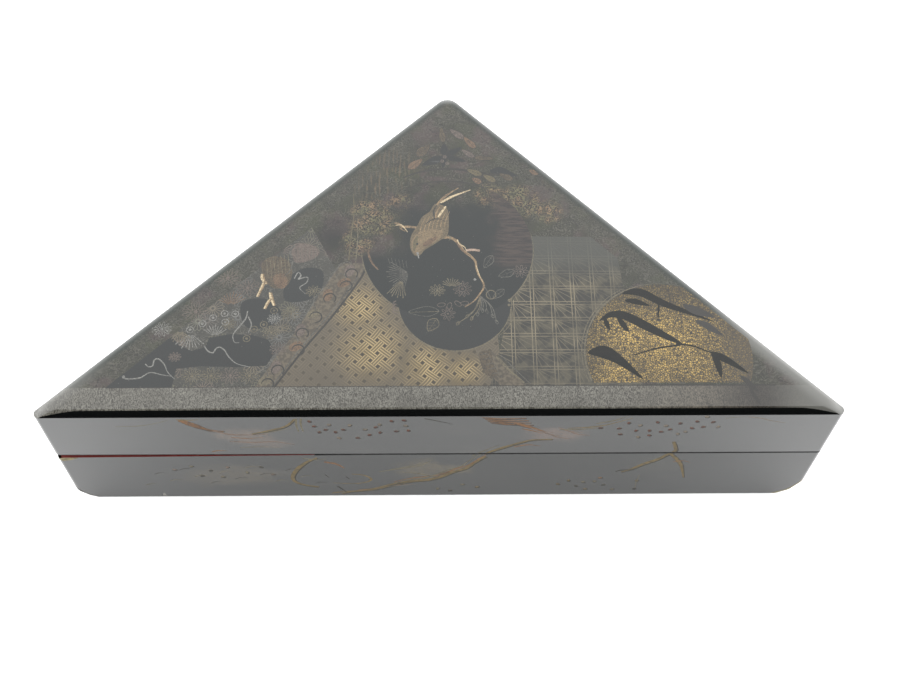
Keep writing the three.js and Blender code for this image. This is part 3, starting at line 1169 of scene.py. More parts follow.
def paint_grounds(p):
    """The fields of the picture, each with its own sprinkled or woven ground."""
    corners = shrunk_corners(FRAME_INSET)
    p.stroke([corners[0], corners[1]], "dark_line", 0.5, 1, 1, step=20)
    p.limits = half_planes(FRAME_INSET)
    p.fill([(-130, -62.6), (-62, -62.6), (-36, -20), (-42, -8), (-50, 8), (-70, 2), (-100, -20)], "meadow")
    p.fill([(-29, -10), (-64, -63), (18, -63), (22, -50), (20, -20)], "lattice")
    p.fill([(18, -63), (22, -48), (26, -30), (29, -24), (35.5, -12), (35.5, 3), (68, 3), (74, -63)], "grid")


def paint_pool(p):
    """The black water at the left, with clouds of gold round it and curling silver lines."""
    p.limits = half_planes(FRAME_INSET)
    pool = [
        (-125, -63), (-112, -50), (-101, -40), (-97, -45), (-92, -47.5), (-87, -46), (-86, -42),
        (-78, -40.5), (-70, -41), (-64, -43), (-61, -48), (-64, -54), (-75, -54.5), (-88, -54), (-97, -55),
        (-98, -63),
    ]
    p.fill(pool, "black")
    p.blob([(-58.5, -17), (-52, -11.5), (-45, -13), (-45, -21), (-50, -26), (-58.5, -26)], "black")
    p.blob([(-75, -27), (-67, -25), (-61, -29), (-60, -34), (-66, -38), (-73, -37)], "black")
    for centre, radius, ink in (((-93, -44), 5, "silver"), ((-97, -42.5), 3.5, "dull_gold")):
        rays(p, (centre[0], centre[1] + 4), 1, radius + 2, 215, 325, 9, ink, 0.4)
    rays(p, (-84, -41.5), 1, 5.2, 30, 150, 9, "silver", 0.35)
    rays(p, (-79, -28), 1, 6.5, 25, 155, 10, "orange", 0.45)
    for x, ink in ((-91, "dull_gold"), (-84, "dull_gold"), (-77, "rose"), (-70, "dull_gold")):
        daisy(p, (x, -58), 4.2, 11, ink, x)
    flowers = [
        (-73, -20, 5, "rose"), (-63, -40, 3.6, "dull_gold"), (-56, -32, 4, "dull_gold"),
        (-62, -34, 3, "silver"), (-60, -47, 3.5, "rose"), (-98, -50, 2.6, "rose"),
        (-48, -22, 3.2, "dull_gold"), (-79, -36, 3, "dull_gold"),
    ]
    for x, y, radius, ink in flowers:
        daisy(p, (x, y), radius, 10, ink, x * 7)
    p.limits = p.edge
    for x, y, radius, ink in ((-81, -15.5, 5.5, "rose"), (-92, -30.5, 5.5, "rose"), (-104, -38, 4, "silver")):
        daisy(p, (x, y), radius, 12, ink, x * 5)
    berries(
        p,
        [(-93.4, -38.4), (-89, -35.8), (-85.2, -33.3), (-81, -31.5), (-77, -31.7), (-80.5, -35.2)],
        "silver",
        1.5,
    )
    berries(p, [(-66, -36.5), (-69.5, -38.5), (-62.5, -30.5), (-72, -42.5), (-58, -38)], "dull_gold", 1.5)


def paint_tendrils(p):
    tendrils = [
        [(-116.3, -58), (-115, -58.9), (-110, -58.6), (-106.5, -56.4), (-102, -57.4), (-98.5, -58)],
        [
            (-108.6, -52.8), (-107.2, -54), (-105.8, -53.6), (-105.4, -51.2), (-103.9, -50.7),
            (-101.6, -53), (-100, -56.3), (-97, -59.4),
        ],
        [
            (-87.6, -45.3), (-86, -47.6), (-84, -48.4), (-83.2, -46.8), (-81.8, -46), (-79.8, -47.4),
            (-78.2, -50), (-75, -53), (-70, -54.5),
        ],
        [(-72.4, -30.5), (-73, -34), (-75.6, -38), (-77.2, -41), (-76.4, -44), (-74.6, -44.2)],
        [(-72, -33), (-70.6, -36.5), (-71.6, -40)],
        [
            (-55.6, -16.2), (-54.2, -13.3), (-53.1, -15), (-54.1, -16.5), (-51.4, -15.6), (-50.3, -16),
            (-50.9, -18.2), (-53.3, -20.4), (-51, -23.2),
        ],
    ]
    for path in tendrils:
        p.stroke(path, "silver", 0.55, 0.8, 0.4, step=0.9)
    p.disc((-116, -58.1), 0.6, "silver", 7)


def paint_crane(p):
    """A wading bird among the flowers: a round gold body, a dark neck and bright legs."""
    p.blob(
        [
            (-68.3, -8.7), (-65.4, -6), (-61.5, -6), (-57.6, -8.8), (-56.5, -14.7), (-58.5, -19.7),
            (-62.3, -20.6), (-65.4, -18.7), (-68, -13.3),
        ],
        "brown",
    )
    p.blob([(-63.4, -14.6), (-59.5, -14), (-58, -18.4), (-60, -20.8), (-63, -18.6)], "orange")
    for k in range(7):
        x = -67 + k * 1.4
        p.stroke([(x, -6.5 + 0.3 * k), (x + 0.8, -11), (x + 1.4, -16.5)], "dull_gold", 0.3)
    p.blob([(-57, -1), (-54, 0.5), (-48, -1.5), (-46.5, -5), (-50, -8), (-55, -9), (-57, -6)], "rose")
    p.stroke([(-56, -0.5), (-57.8, -3.5), (-56.6, -8), (-57.4, -12.5), (-59.5, -15)], "faint_line", 0.8, 0.8)
    for k in range(6):
        p.stroke([(-56 + k * 1.6, -1.5 - 0.4 * k), (-54.5 + k * 1.4, -8.5 - 0.6 * k)], "faint_line", 0.3)
    legs = [
        ([(-68.2, -13.8), (-67.8, -16.4), (-66.2, -18.3)], 1.0),
        ([(-67.2, -17.2), (-68, -20), (-69.4, -24.2)], 0.65),
        ([(-64.6, -22.3), (-64, -25), (-62.7, -28.2)], 0.9),
        ([(-64.2, -25), (-65.4, -27), (-66.3, -29.6)], 0.65),
    ]
    for path, width in legs:
        p.stroke([(x + 0.35, y - 0.1) for x, y in path], "gold", width + 0.5, 0.7, 0.7)
        p.stroke(path, "bright_gold", width, 0.7, 0.8)


def paint_bands(p):
    """The slanting bands on either side of the lattice, with scrolls on a brown-gold ground."""
    p.limits = half_planes(FRAME_INSET)
    left = [
        (-67.5, -62.6), (-60, -49), (-51.5, -34.5), (-44, -20), (-38, -9.5), (-28.5, -9.5), (-30, -16),
        (-40, -32.5), (-50, -46.5), (-60.5, -62.6),
    ]
    p.fill(left, "band")
    p.stroke([(-68, -58), (-60, -49), (-51.5, -34.5), (-44, -20), (-38, -9.5)], "faint_line", 0.5, 1, 1)
    p.stroke([(-60.5, -62.6), (-50, -46.5), (-40, -32.5), (-30, -16), (-28.5, -10)], "dark_line", 0.8, 1, 1)
    p.stroke([(-61.7, -62.6), (-51.2, -46), (-41.2, -31.8), (-31.2, -15.6)], "faint_line", 0.4, 1, 1)
    scrolls = [
        (-60.5, -54.5, "rose"), (-53.5, -46, "orange"), (-52.2, -39, "rose"), (-47.5, -32, "dull_gold"),
        (-42.5, -23.8, "orange"), (-36.5, -18.3, "orange"), (-34.5, -12.8, "rose"), (-64, -60, "dull_gold"),
    ]
    for k, (x, y, ink) in enumerate(scrolls):
        turn = 54 + 25 * (-1) ** k
        p.blob(oval((x, y), 2.9, 1.9, turn, 9), ink)
        curl = arc_points((x + 0.8, y - 1.6), 2.3, turn + 150, turn - 120, 7)
        p.stroke(curl, "dark_line", 0.6, 0.4, 0.8)
        p.stroke(arc_points((x - 1.2, y + 2.2), 1.9, turn - 60, turn + 170, 7), "faint_line", 0.4)
    right = [(13, -48), (19.5, -48.5), (24, -56), (31.5, -62.6), (22, -62.6), (15.5, -55)]
    p.fill(right, "band")
    p.blob([(14.5, -49), (18.5, -48.5), (19.5, -53), (21, -58), (17, -58.5), (15, -54)], "brown")
    p.stroke([(20.5, -50.8), (25, -56), (30.5, -61.5)], "dull_gold", 0.9, 0.8, 0.8)
    p.stroke([(22.3, -50), (27, -55.5), (33, -62)], "faint_line", 0.4)
    for k in range(5):
        p.stroke(
            [(15 + k, -50 - 2 * k), (17.2 + k, -49.4 - 2 * k), (18.4 + k, -51.4 - 2 * k)], "faint_line", 0.3
        )


def paint_cartouche(p):
    """Two joined roundels of plain black, where a bird sits on a branch."""
    for x, y, radius in CARTOUCHE:
        p.disc((x, y), radius, "black", 56)
    x, y, radius = CARTOUCHE[1]
    p.stroke(arc_points((x, y), radius + 0.3, 168, 384, 40), "dull_gold", 0.45, 0.5, 0.5)
    x, y, radius = CARTOUCHE[0]
    p.disc((x, y), radius, "haze", 56)
    p.stroke(arc_points((x, y), radius + 0.3, 183, 230), "dull_gold", 0.45, 0.3, 1)
    p.stroke(arc_points((x, y), radius + 0.3, -47, 12), "dull_gold", 0.45, 1, 0.3)
    p.stroke(arc_points((x, y + 1.5), radius + 4.2, 62, 118), "dark_line", 1.2, 0.5, 0.5)
    p.stroke(arc_points((x, y - 1), radius + 0.5, 60, 120), "dark_line", 0.7, 0.5, 0.5)
    for k in range(4):
        p.stroke(
            [(-16.5, -26.6 - 1.3 * k), (-17.8, -27.6 - 1.3 * k), (-16.2 + 0.4 * k, -28.4 - 1.4 * k)],
            "rose",
            0.5,
        )
    p.disc((26.4, -26.6), 0.8, "dull_gold", 7)
    p.disc((26.1, -28.6), 0.6, "dull_gold", 7)
    p.stroke([(26.8, -29.5), (27.2, -34), (25.6, -38), (22, -42)], "dull_gold", 0.5)


def paint_flowers(p):
    """The flowering branch that hangs into the cartouche."""
    rays(p, (-12, -14), 0.5, 8.5, 140, 262, 15, "faint_line", 0.32)
    rays(p, (-14.5, -17), 1, 8.5, 225, 285, 8, "dull_gold", 0.4)
    for k in range(6):
        p.stroke([(-13 - k * 1.4, -8.5 + 0.3 * k), (-12.5 - k * 1.2, -12)], "faint_line", 0.3)
    leaf(p, (-0.3, -31.2), (-12, -31.6), 4.4, "faint_line", veins=0)
    p.stroke([(-0.3, -31.4), (-11, -31.7)], "dull_gold", 0.4)
    leaf(p, (-1.2, -34.4), (-4.6, -40), 4.6, "dull_gold", veins=4)
    daisy(p, (3, -32.4), 3, 8, "rose", 10, 1.1)
    daisy(p, (8.6, -21.4), 3.8, 11, "rose", 20, 1)
    daisy(p, (-1, -22), 3.3, 10, "dull_gold", 0, 0.8)
    rays(p, (4.5, -20.5), 0.6, 4.2, 15, 165, 10, "dull_gold", 0.4)
    for x, y in ((0.5, -28.5), (3.5, -29), (6.8, -28), (9.3, -27.8)):
        p.loop(oval((x, y), 1.7, 1, 20 * x), "rose", 0.3)
    leaf(p, (28.8, -13.2), (22.4, -15.8), 3.6, "faint_line")
    daisy(p, (31, -13.5), 3.4, 9, "rose", 0, 0.9)
    leaf(p, (20.5, -6), (17, -12), 3.6, "faint_line")
    leaf(p, (24.5, -21.5), (20, -26), 3, "faint_line")
    for tip in (
        (6.7, -36.6), (10.2, -33.5), (11.9, -34.4), (14.2, -32.6), (16, -31), (17.6, -31.4), (19.8, -33.4),
        (21.2, -36),
    ):
        bud(p, (15.3, -24.5), tip, "dull_gold" if tip[0] < 13 else "faint_line")
    p.loop(oval((19.4, -24), 2, 2.2), "dull_gold", 0.4)
    p.stroke([(16.9, -20), (18, -22.5), (19.4, -26)], "faint_line", 0.4)
    p.disc((13.4, -17.2), 0.6, "silver", 7)


def paint_branch(p):
    p.stroke([(-17.6, 9.4), (-16, 9.0), (-14.6, 7.6), (-12.4, 7.6), (-9, 7.2)], "gold", 1.1, 0.6, 0.9)
    p.stroke([(-17.2, 8.2), (-15, 8.6), (-13.4, 6.6), (-12.4, 5.0)], "bright_gold", 0.6, 0.4)
    p.stroke([(-15.6, 7.2), (-14, 5.8), (-13.2, 5.4)], "gold", 0.5)
    p.stroke([(1.8, 2.2), (4, 2.4), (6.2, 1), (8, -1.4), (9.3, -3.9), (12.1, -6.5)], "gold", 1.3, 0.7, 0.8)
    p.stroke([(12.1, -6.5), (13.8, -9), (14.1, -12), (14.9, -15)], "gold", 0.9, 1, 0.8)
    p.stroke([(7, 1.4), (7.6, -0.6), (9.8, -2.2), (10.4, -4.4)], "bright_gold", 0.5)
    p.stroke([(6.6, 0.2), (8, -2.4), (9.6, -4.6), (12, -6.4)], "orange", 0.9)
    p.stroke(
        [(14.7, -14.6), (16.8, -19.9), (15.1, -23.8), (12.6, -27.1), (9.3, -29.5)], "gold", 0.75, 0.9, 0.5
    )
    p.stroke([(14, -10.5), (15, -14.6), (16.4, -18.4)], "bright_gold", 0.35)
    p.stroke([(10.3, -3.7), (13, -3.5), (15.6, -3.9)], "rose_light", 1.1, 0.9, 0.9)
    p.stroke([(3.2, 3.6), (4.4, 2.2), (3.6, 0.8)], "dull_gold", 0.5)


def paint_bird(p):
    """A small long-tailed bird seen from behind, its head turned down to the left."""
    body = [
        (-1.6, 18.6), (-3.6, 15.1), (-6.8, 12.2), (-8.7, 7.9), (-10.7, 4.1), (-11.5, 0.4), (-11.1, -3.4),
        (-9.7, -6), (-7.6, -6), (-5.6, -3.4), (-2.9, -1.5), (0.6, 1.3), (3, 3.1), (3.7, 8.3), (3.1, 16.4),
    ]
    p.blob(body, "bird")
    p.blob(
        [
            (-10.6, 1.6), (-7, 5.4), (-2, 6.4), (1.4, 5), (0.2, 2), (-3, -0.6), (-6, -2.8), (-9, -5.4),
            (-10.6, -3.4),
        ],
        "breast",
    )
    p.blob([(-10.4, -1), (-9.4, 2.4), (-8.4, 3.4), (-8.6, -0.4), (-9.8, -4)], "gold_leaf")
    p.blob([(-6.6, -0.8), (-4, 1.6), (-0.6, 3), (-2.4, 0.2), (-5.4, -2)], "orange")
    for k in range(7):
        start = (-7.6 + 1.6 * k, 4.6 + 0.5 * k)
        p.stroke([start, (start[0] + 0.6, start[1] + 3.4), (start[0] + 2.2, start[1] + 7.4)], "gold", 0.35)
    for k in range(8):
        spot = (-7.4 + 2.4 * (k % 4) + 0.9 * (k // 4), 0.8 + 0.7 * (k % 4) + 2.4 * (k // 4))
        p.stroke([spot, (spot[0] + 0.5, spot[1] + 1.2)], "gold", 0.35, 0.8)
    p.stroke([(-5.4, 9), (-2.6, 11), (0.4, 11.2), (2.8, 9.6)], "dark_line", 0.5)
    p.stroke([(-1.6, 11), (-2.2, 15), (-0.6, 18.6)], "dark_line", 0.7)
    p.stroke([(-0.5, 12.2), (0.9, 14.6), (2.7, 17.4)], "bright_gold", 1.0, 0.5, 0.7)
    p.stroke([(-1.6, 12), (-0.9, 15), (0.4, 17.4)], "gold", 0.7)
    p.stroke([(-0.9, 18.2), (2.6, 22.6), (7.8, 26.6)], "gold", 1.1, 0.8, 0.3)
    p.stroke([(2.6, 22.6), (4.8, 24.8)], "orange", 0.9)
    p.stroke([(0.6, 19.2), (5.4, 22.4), (12.5, 25.6)], "bright_gold", 1.1, 0.7, 0.3)
    p.stroke([(-8.6, -4.6), (-8, -7.4)], "silver", 1.2, 0.8, 0.3)
    p.disc((-8.6, -0.6), 0.5, "black", 7)


def paint_crest(p):
    """Leaves and a dark flower over the cartouche."""
    for tip, base, width, ink in (
        ((4.4, 57), (10.6, 51.6), 3.4, "rose"), ((10, 53), (15.2, 46.6), 3.2, "orange"),
        ((9, 46.5), (14.6, 41.8), 2.8, "rose"), ((1, 58), (2, 49.5), 3, "brown"),
        ((-3.5, 49), (-9, 42.6), 4.6, "brown"), ((-6.5, 41.5), (-12.5, 36), 4, "orange"),
        ((22.5, 41.5), (14, 42), 2.4, "brown"),
    ):
        leaf(p, base, tip, width, "dark_line", filled=ink, veins=2)
    for tip, width in (
        ((-7, 38), 4), ((2.2, 49.5), 3.6), ((9.6, 47.5), 3.2), ((11, 40), 3), ((1.5, 36.5), 2.4),
    ):
        leaf(p, (2.4, 42.6), tip, width, "dark_line", filled="black", veins=0)
    berries(p, [(1.4, 40.2), (3.4, 39), (2.4, 42.4)], "rose", 0.8)
    p.blob([(20.5, 35.5), (24.5, 37.4), (28, 35.6), (31.5, 32.6), (26.5, 33), (22, 33.6)], "black")
    p.stroke([(16.5, 31.6), (19, 33.2), (24, 33.6), (30, 32.4)], "dark_line", 0.9)
    for tip, base, ink in (
        ((11, 36), (17.6, 33), "gold_leaf"), ((13, 31.8), (17.2, 28.8), "orange"),
        ((17.5, 33.5), (23, 29.5), "gold_leaf"), ((24, 34), (30, 30.5), "brown"),
        ((36, 36), (40.5, 33.8), "orange"),
    ):
        leaf(p, base, tip, 3.2, "dark_line", filled=ink, veins=2)
    p.stroke([(-27.7, -3.6), (-27, -7), (-25.6, -10), (-23.6, -12.6)], "orange", 0.9, 0.7, 0.6)
    p.stroke([(-35, -8), (-34.4, 4), (-33.6, 14), (-34, 24)], "gold_leaf", 0.6)
    p.stroke([(-32.4, -10), (-31.8, 2), (-32.2, 12)], "dull_gold", 0.5)


def paint_roundel(p):
    """A disc of sprinkled gold at the right, crossed by long black leaves."""
    x, y, radius = ROUNDEL
    p.limits = [((0, FRAME_LOW + 1), (0, 1))] + p.edge
    p.stroke(arc_points((x, y), radius + 1.6, 120, 200, 30), "dull_gold", 0.4, 0.5, 0.5)
    p.stroke(arc_points((x, y), radius + 0.5, 90, 200, 40), "dull_gold", 0.5, 0.2, 1)
    p.disc((x, y), radius, "grain", 60)
    leaves = [
        [
            (69.3, -23.4), (73, -21.2), (78, -21.4), (85.4, -26.2), (94.5, -30.9), (103.5, -35.6),
            (94.3, -32.6), (84, -28.8), (76, -24.4),
        ],
        [
            (60, -35.6), (62.6, -32.4), (66.6, -31), (71, -31.8), (80.6, -37.6), (90.5, -45.4),
            (84.4, -43.5), (76.4, -39.2), (69.4, -35), (64, -34),
        ],
        [(61.6, -33.6), (63.4, -36), (63.6, -39.6), (61.6, -37.2)],
        [(66.6, -33.4), (69.4, -35.8), (70.8, -40.4), (67.8, -38)],
        [
            (54.6, -49.2), (58.6, -46.4), (62.4, -46.6), (66, -49.4), (70, -54), (74.6, -60.2), (69.7, -57),
            (64.4, -53.4), (59, -51),
        ],
        [
            (100.6, -48.6), (104.5, -49.4), (109, -52.8), (113.6, -57.8), (108.4, -55), (103.6, -52.4),
            (101.2, -51.2),
        ],
        [(100.8, -50), (103.3, -51.7), (104, -55.1), (103.3, -59.6), (101.6, -55.1)],
        [(70, -26.4), (74, -25.4), (79.6, -28.6), (74.4, -28.2)],
    ]
    for outline in leaves:
        p.blob(outline, "leaf_black", step=2.2)
    p.limits = p.edge
    for outline in (
        [(92, -28), (97, -28.6), (104, -33.5), (98, -33), (94, -31)],
        [(96, -35), (101, -36), (106, -41.5), (101, -39.6)],
        [(110, -58.5), (113.4, -60.2), (116.4, -65.4), (112.6, -62.8)],
        [(113, -62.4), (115, -66), (116.6, -71), (113.6, -67)],
    ):
        p.blob(outline, "dark_line", step=2.2)
    for path in (
        [(83, -27.6), (82.6, -31), (82, -35)],
        [(89.2, -45.8), (80, -47.4), (72, -50)],
        [(88, -45.4), (94, -46.2), (100.8, -49.2)],
    ):
        p.stroke(path, "leaf_black", 0.8, 0.9, 0.5)


PICTURE = (
    paint_grounds,
    paint_bands,
    paint_pool,
    paint_crane,
    paint_tendrils,
    paint_roundel,
    paint_cartouche,
    paint_flowers,
    paint_crest,
    paint_branch,
    paint_bird,
)


def paint_picture():
    painting = Painting(half_planes(FIELD_INSET))
    for paint in PICTURE:
        painting.limits = painting.edge
        paint(painting)
    return painting


# The sprays on the sides


def dots(painting, places, inks=("rust", "rust", "side_brown")):
    for k, (x, y) in enumerate(places):
        painting.lay(oval((x + 0.2, y - 0.25), 1.15, 0.85, 25 * k, 7), "dark_stroke")
        painting.lay(oval((x, y), 0.85, 0.6, 25 * k, 7), inks[k % len(inks)])
        painting.stroke([(x - 0.9, y + 0.6), (x, y + 0.95), (x + 0.9, y + 0.5)], "side_gold", 0.22)


def bough(painting, path, ink, width, start=0.5, end=0.5):
    """A stroke with a dark line along its lower side."""
    low = [(x + 0.3, z - 0.3) for x, z in path]
    painting.stroke(low, "dark_stroke", width + 0.5, start, end)
    painting.stroke(path, ink, width, start, end)


def paint_front_lid(p):
    p.stroke([(-119, 65.6), (-110, 66), (-103, 68.4), (-98.5, 71)], "side_dim", 0.5, 0.5)
    for start, width in (((-95, 70.6), 1.9), ((-94, 69), 1.3), ((-93.2, 67.6), 0.8)):
        bough(
            p,
            [start, (start[0] + 5, start[1] - 4), (start[0] + 10, 61.8), (-80, 61)],
            "side_orange",
            width,
            1,
            0.4,
        )
    p.stroke([(-96, 71), (-92, 70.4), (-88, 70.8)], "side_gold", 0.9)
    p.stroke([(-84, 61.5), (-78, 58.5), (-72, 58), (-64, 58.6)], "side_rose", 1.2, 0.8)
    p.stroke([(-78, 56), (-72, 55), (-66, 56)], "side_orange", 0.6)
    p.stroke([(-79, 52.5), (-70, 51.5), (-62, 52), (-55, 49.5)], "side_rose", 1.1, 0.5)
    p.stroke([(-87, 43.2), (-84.5, 44.4), (-81, 44.2)], "side_orange", 0.8)
    p.stroke([(-76, 47), (-68, 47.6), (-60, 47)], "side_dim", 0.5)
    bough(p, [(-70, 58.8), (-64, 61.2), (-57, 65), (-53, 71)], "side_gold", 1.1, 0.6, 0.8)
    p.stroke([(-66, 59), (-60, 61.5), (-55, 63.4)], "side_dim", 0.6)
    for x in (-52.5, -50.8):
        p.stroke([(x, 71.4), (x - 0.4, 66), (x, 60.5)], "side_dim", 0.8, 1, 0.6)
    left = [
        (-46.5, 65), (-42.5, 62), (-41, 66), (-45, 60), (-39, 60), (-38, 55), (-36, 62), (-31, 55),
        (-28, 62), (-24, 64), (-22.5, 59.5), (-22.5, 66), (-18, 69), (-13.5, 69.5), (-13, 65),
        (-16.5, 60.5), (-26.5, 57.5), (-33.5, 65.5), (-12, 61), (-48, 69),
    ]
    dots(p, left)
    p.stroke([(-6, 71), (0, 68.4), (4.4, 66.2)], "dark_stroke", 0.7, 0.8)
    for k in range(4):
        bough(
            p,
            [(15 + k, 71.6 - 1.4 * k), (22 + k, 70.4 - 1.5 * k), (31 + k, 70.8 - 1.9 * k)],
            "side_orange",
            0.9,
        )
    bough(p, [(27, 67), (32, 64), (38.5, 59.6)], "side_orange", 1.8, 0.8, 0.4)
    p.stroke([(30, 62), (34, 60.4), (38, 58)], "side_orange", 0.8)
    for k in range(5):
        start = (33 + 3.5 * k, 63 - 2.6 * (k % 3))
        p.stroke([start, (start[0] + 4, start[1] - 3), (start[0] + 9, start[1] - 4.4)], "side_rose", 0.9, 0.4)
    p.stroke([(47, 62.4), (54, 63), (61, 65), (70, 70.6)], "side_gold", 0.9, 0.5)
    p.stroke([(44, 61.4), (52, 61.4), (60, 63)], "side_dim", 0.9, 0.5)
    p.stroke([(57, 66), (63, 68.4), (68, 72)], "side_dim", 0.9, 0.5)
    right = [
        (59, 62.5), (66, 62), (73.5, 64.5), (72.5, 60), (77.5, 60), (74, 54.5), (78, 56), (82, 59),
        (83, 64), (85, 61), (88, 66), (88.5, 57), (94, 67.5), (93, 62), (97, 71.3), (97, 63), (100, 67),
        (102.5, 63), (69, 66.5), (79.5, 67), (91, 59), (67, 57),
    ]
    dots(p, right)
    p.stroke([(112, 71.2), (117, 70), (121, 68), (127, 66)], "side_brown", 0.6, 0.7)
    p.stroke([(104, 70), (108, 71), (112, 71.2)], "side_dim", 0.4)


def paint_front_body(p):
    curve = [(-47.5, 37.4), (-51.8, 33.5), (-56, 27), (-58.4, 20), (-58, 15), (-54.6, 11.6), (-49, 9.4)]
    bough(p, curve, "side_gold", 1.8, 0.5, 0.6)
    p.stroke([(-53, 37), (-48, 35.6), (-44, 36.4)], "side_dim", 0.9)
    p.stroke([(-45, 33.6), (-40.5, 31.6), (-37.5, 27.6)], "side_orange", 1.5, 0.8)
    p.stroke(
        [(-35, 22), (-30, 20.6), (-27.4, 16.5), (-31, 13.2), (-36, 12.6), (-43, 13.4)], "side_gold", 1.0, 0.6
    )
    p.stroke([(-36, 4.4), (-31, 6.4), (-26, 7.6)], "side_orange", 1.1)
    p.stroke([(-44, 3), (-39, 4.6), (-34, 5.2)], "side_gold", 1.1)
    branch = [
        (-40, 2.6), (-35, 4.8), (-28, 6.4), (-20, 10.8), (-12, 14.6), (-5, 16), (0, 18.8), (5, 23.4),
        (10, 27), (13, 32), (17.4, 38),
    ]
    bough(p, branch, "side_gold", 2.4, 0.3, 0.6)
    p.stroke([(x + 1.6, z + 3.4) for x, z in branch[3:]], "side_orange", 1.0, 0.5)
    p.stroke([(x - 2, z + 1.8) for x, z in branch[4:]], "side_dim", 1.0, 0.5)
    p.stroke([(-21, 9.6), (-15, 11), (-10, 11.4)], "side_brown", 0.8)
    p.stroke([(-3, 19), (-8, 22), (-15, 23.6)], "side_dim", 0.8)
    for k in range(5):
        p.stroke(
            [(-24 + 3.4 * k, 24 + k), (-20 + 3.4 * k, 25.5 + 1.4 * k), (-17 + 3.4 * k, 28 + 1.6 * k)],
            "side_dim",
            0.6,
        )
    for path in (
        [(-45.5, 21.5), (-44, 18.5)], [(-37.4, 19.5), (-36, 17)], [(-20, 10), (-16, 12.6), (-12.4, 14)],
        [(-41.4, 10.4), (-39, 6), (-38, 3.6)],
    ):
        p.stroke(path, "dark_stroke", 1.0, 0.7)
    bough(p, [(17, 40.2), (22, 44.6), (30, 50), (34.5, 52.4), (42, 53)], "side_gold", 1.5, 0.8)
    p.stroke([(28, 46.4), (33, 48.2), (38, 47)], "side_orange", 0.9)
    p.stroke([(12, 38), (16, 42.4), (22, 48)], "side_dim", 0.8)
    low = [
        (9, 11), (15, 8.5), (4, 5), (-1, 7), (51.5, 14.5), (55, 9), (57.5, 13), (59, 6), (66, 10),
        (70, 5.5), (79, 14), (79, 6), (62, 13.5), (47.5, 11),
    ]
    dots(p, low, ("side_dim", "side_gold", "dark_stroke"))
    dots(p, [(64, 17)], ("side_orange",))
    twig = [(71.5, 22.6), (75, 25), (80, 30.6), (84, 34), (87, 38), (90, 42), (89.4, 46), (88, 50.4)]
    bough(p, twig, "side_gold", 1.9, 0.4, 0.6)
    bough(p, [(89, 39), (91.5, 35), (94, 30), (95.5, 25), (97.4, 17)], "side_gold", 1.6, 0.8, 0.3)
    p.stroke([(91, 32), (94.5, 33), (97.5, 31.4)], "side_orange", 0.7)
    p.stroke([(69.4, 23.2), (72.6, 24.6), (76, 24.2)], "dark_stroke", 1.1, 0.7)
    p.stroke([(79.4, 19.6), (79, 12), (79.6, 5)], "side_dim", 0.4)
    for k in range(14):
        x, z = -118 + 5.2 * k, 12 + 17 * ((k * 0.618) % 1)
        p.stroke(
            [(x, z), (x + 2.6, z + 1.6), (x + 5.4, z + 1.2)], ("side_dim", "dark_stroke")[k % 2], 0.5, 0.5
        )
    faded = [
        (-104, 27), (-97, 30), (-90, 26), (-83, 29), (-76, 24), (-70, 29), (-66, 22), (-86, 20), (-94, 21),
    ]
    dots(p, faded, ("side_rose", "side_dim", "dark_stroke"))
    p.lay([(-112.8, 0.9), (-111.2, 0.9), (-111.9, 4.4), (-112.4, 4.3)], "flake")


def paint_back(p, middle, lean, dice):
    """A plain spray in keeping with the front: one branch with leaves and a scatter of dots."""
    spine = [(-62, 8), (-44, 16), (-27, 19), (-10, 28), (8, 36), (22, 47), (40, 54), (58, 64)]
    spine = [(middle + lean * x, z) for x, z in spine]
    p.stroke(spine, "side_gold", 1.6, 0.4, 0.3)
    for k, (length, z) in enumerate(spine[1:]):
        sign = lean * (1 if k % 2 else -1)
        for reach, drop in ((9, 3.4), (6.5, 6.6)):
            tip = (length + sign * reach, z + drop * (1 if k % 2 else -1))
            ink = ("side_dim", "side_orange", "side_rose")[(k + int(reach)) % 3]
            p.stroke([(length, z), ((length + tip[0]) / 2, (z + tip[1]) / 2 + 1.2), tip], ink, 0.9, 0.3)
    for centre in ((-58, 58), (46, 18)):
        x, z = middle + lean * centre[0], centre[1]
        places = [(x + dice.uniform(-17, 17), z + dice.uniform(-9, 9)) for _ in range(16)]
        dots(p, places)


@lru_cache(maxsize=None)
def paint_sides():
    painting = Painting([])
    paint_front_lid(painting)
    paint_front_body(painting)
    dice = random.Random(7)
    paint_back(painting, SIDE_MIDDLES[1], 1, dice)
    paint_back(painting, SIDE_MIDDLES[2], -1, dice)
    paint_seam_shadows(painting)
    paint_wear(painting)
    return painting


def wear_height(t, cuts):
    """How high a knocked-off corner reaches on the front, at a distance from the corner."""
    inward = t * math.cos(math.pi / 8)
    return max(height / reach * (CORNER_ARC + reach - inward) for height, reach, *_ in cuts)


def paint_wear(p):
    """Bare wood and ground where the lacquer has come away, and spots of painted shadow at the two ends of
    the seam.
    """
    half = LONG_SIDE / 2
    for side, cuts, ink in WEAR[:2]:
        steps = (16, 14, 12, 10, 8, 6, 4.5, 3)
        rim = [(side * (half - t), max(wear_height(t, cuts), 0) + 0.35) for t in steps]
        p.stroke(rim, "dark_stroke" if side < 0 else ink, 1.2, 0.2, 0.9)
    p.fill(
        [(-148, 38.9), (-147.4, 36.4), (-145, 35.7), (-142, 36.6), (-139, 38.2), (-138.5, 39.2)], "bare_wood"
    )
    # painted shadow in the notch under the seam at the left corner and at the seam's right corner
    p.lay([(-149.4, 39), (-149, 37.8), (-148.3, 37.6), (-147.9, 38.9)], "seam")
    p.lay([(146.2, 41), (148.8, 41.2), (148.6, 39), (147.2, 39.3)], "seam")


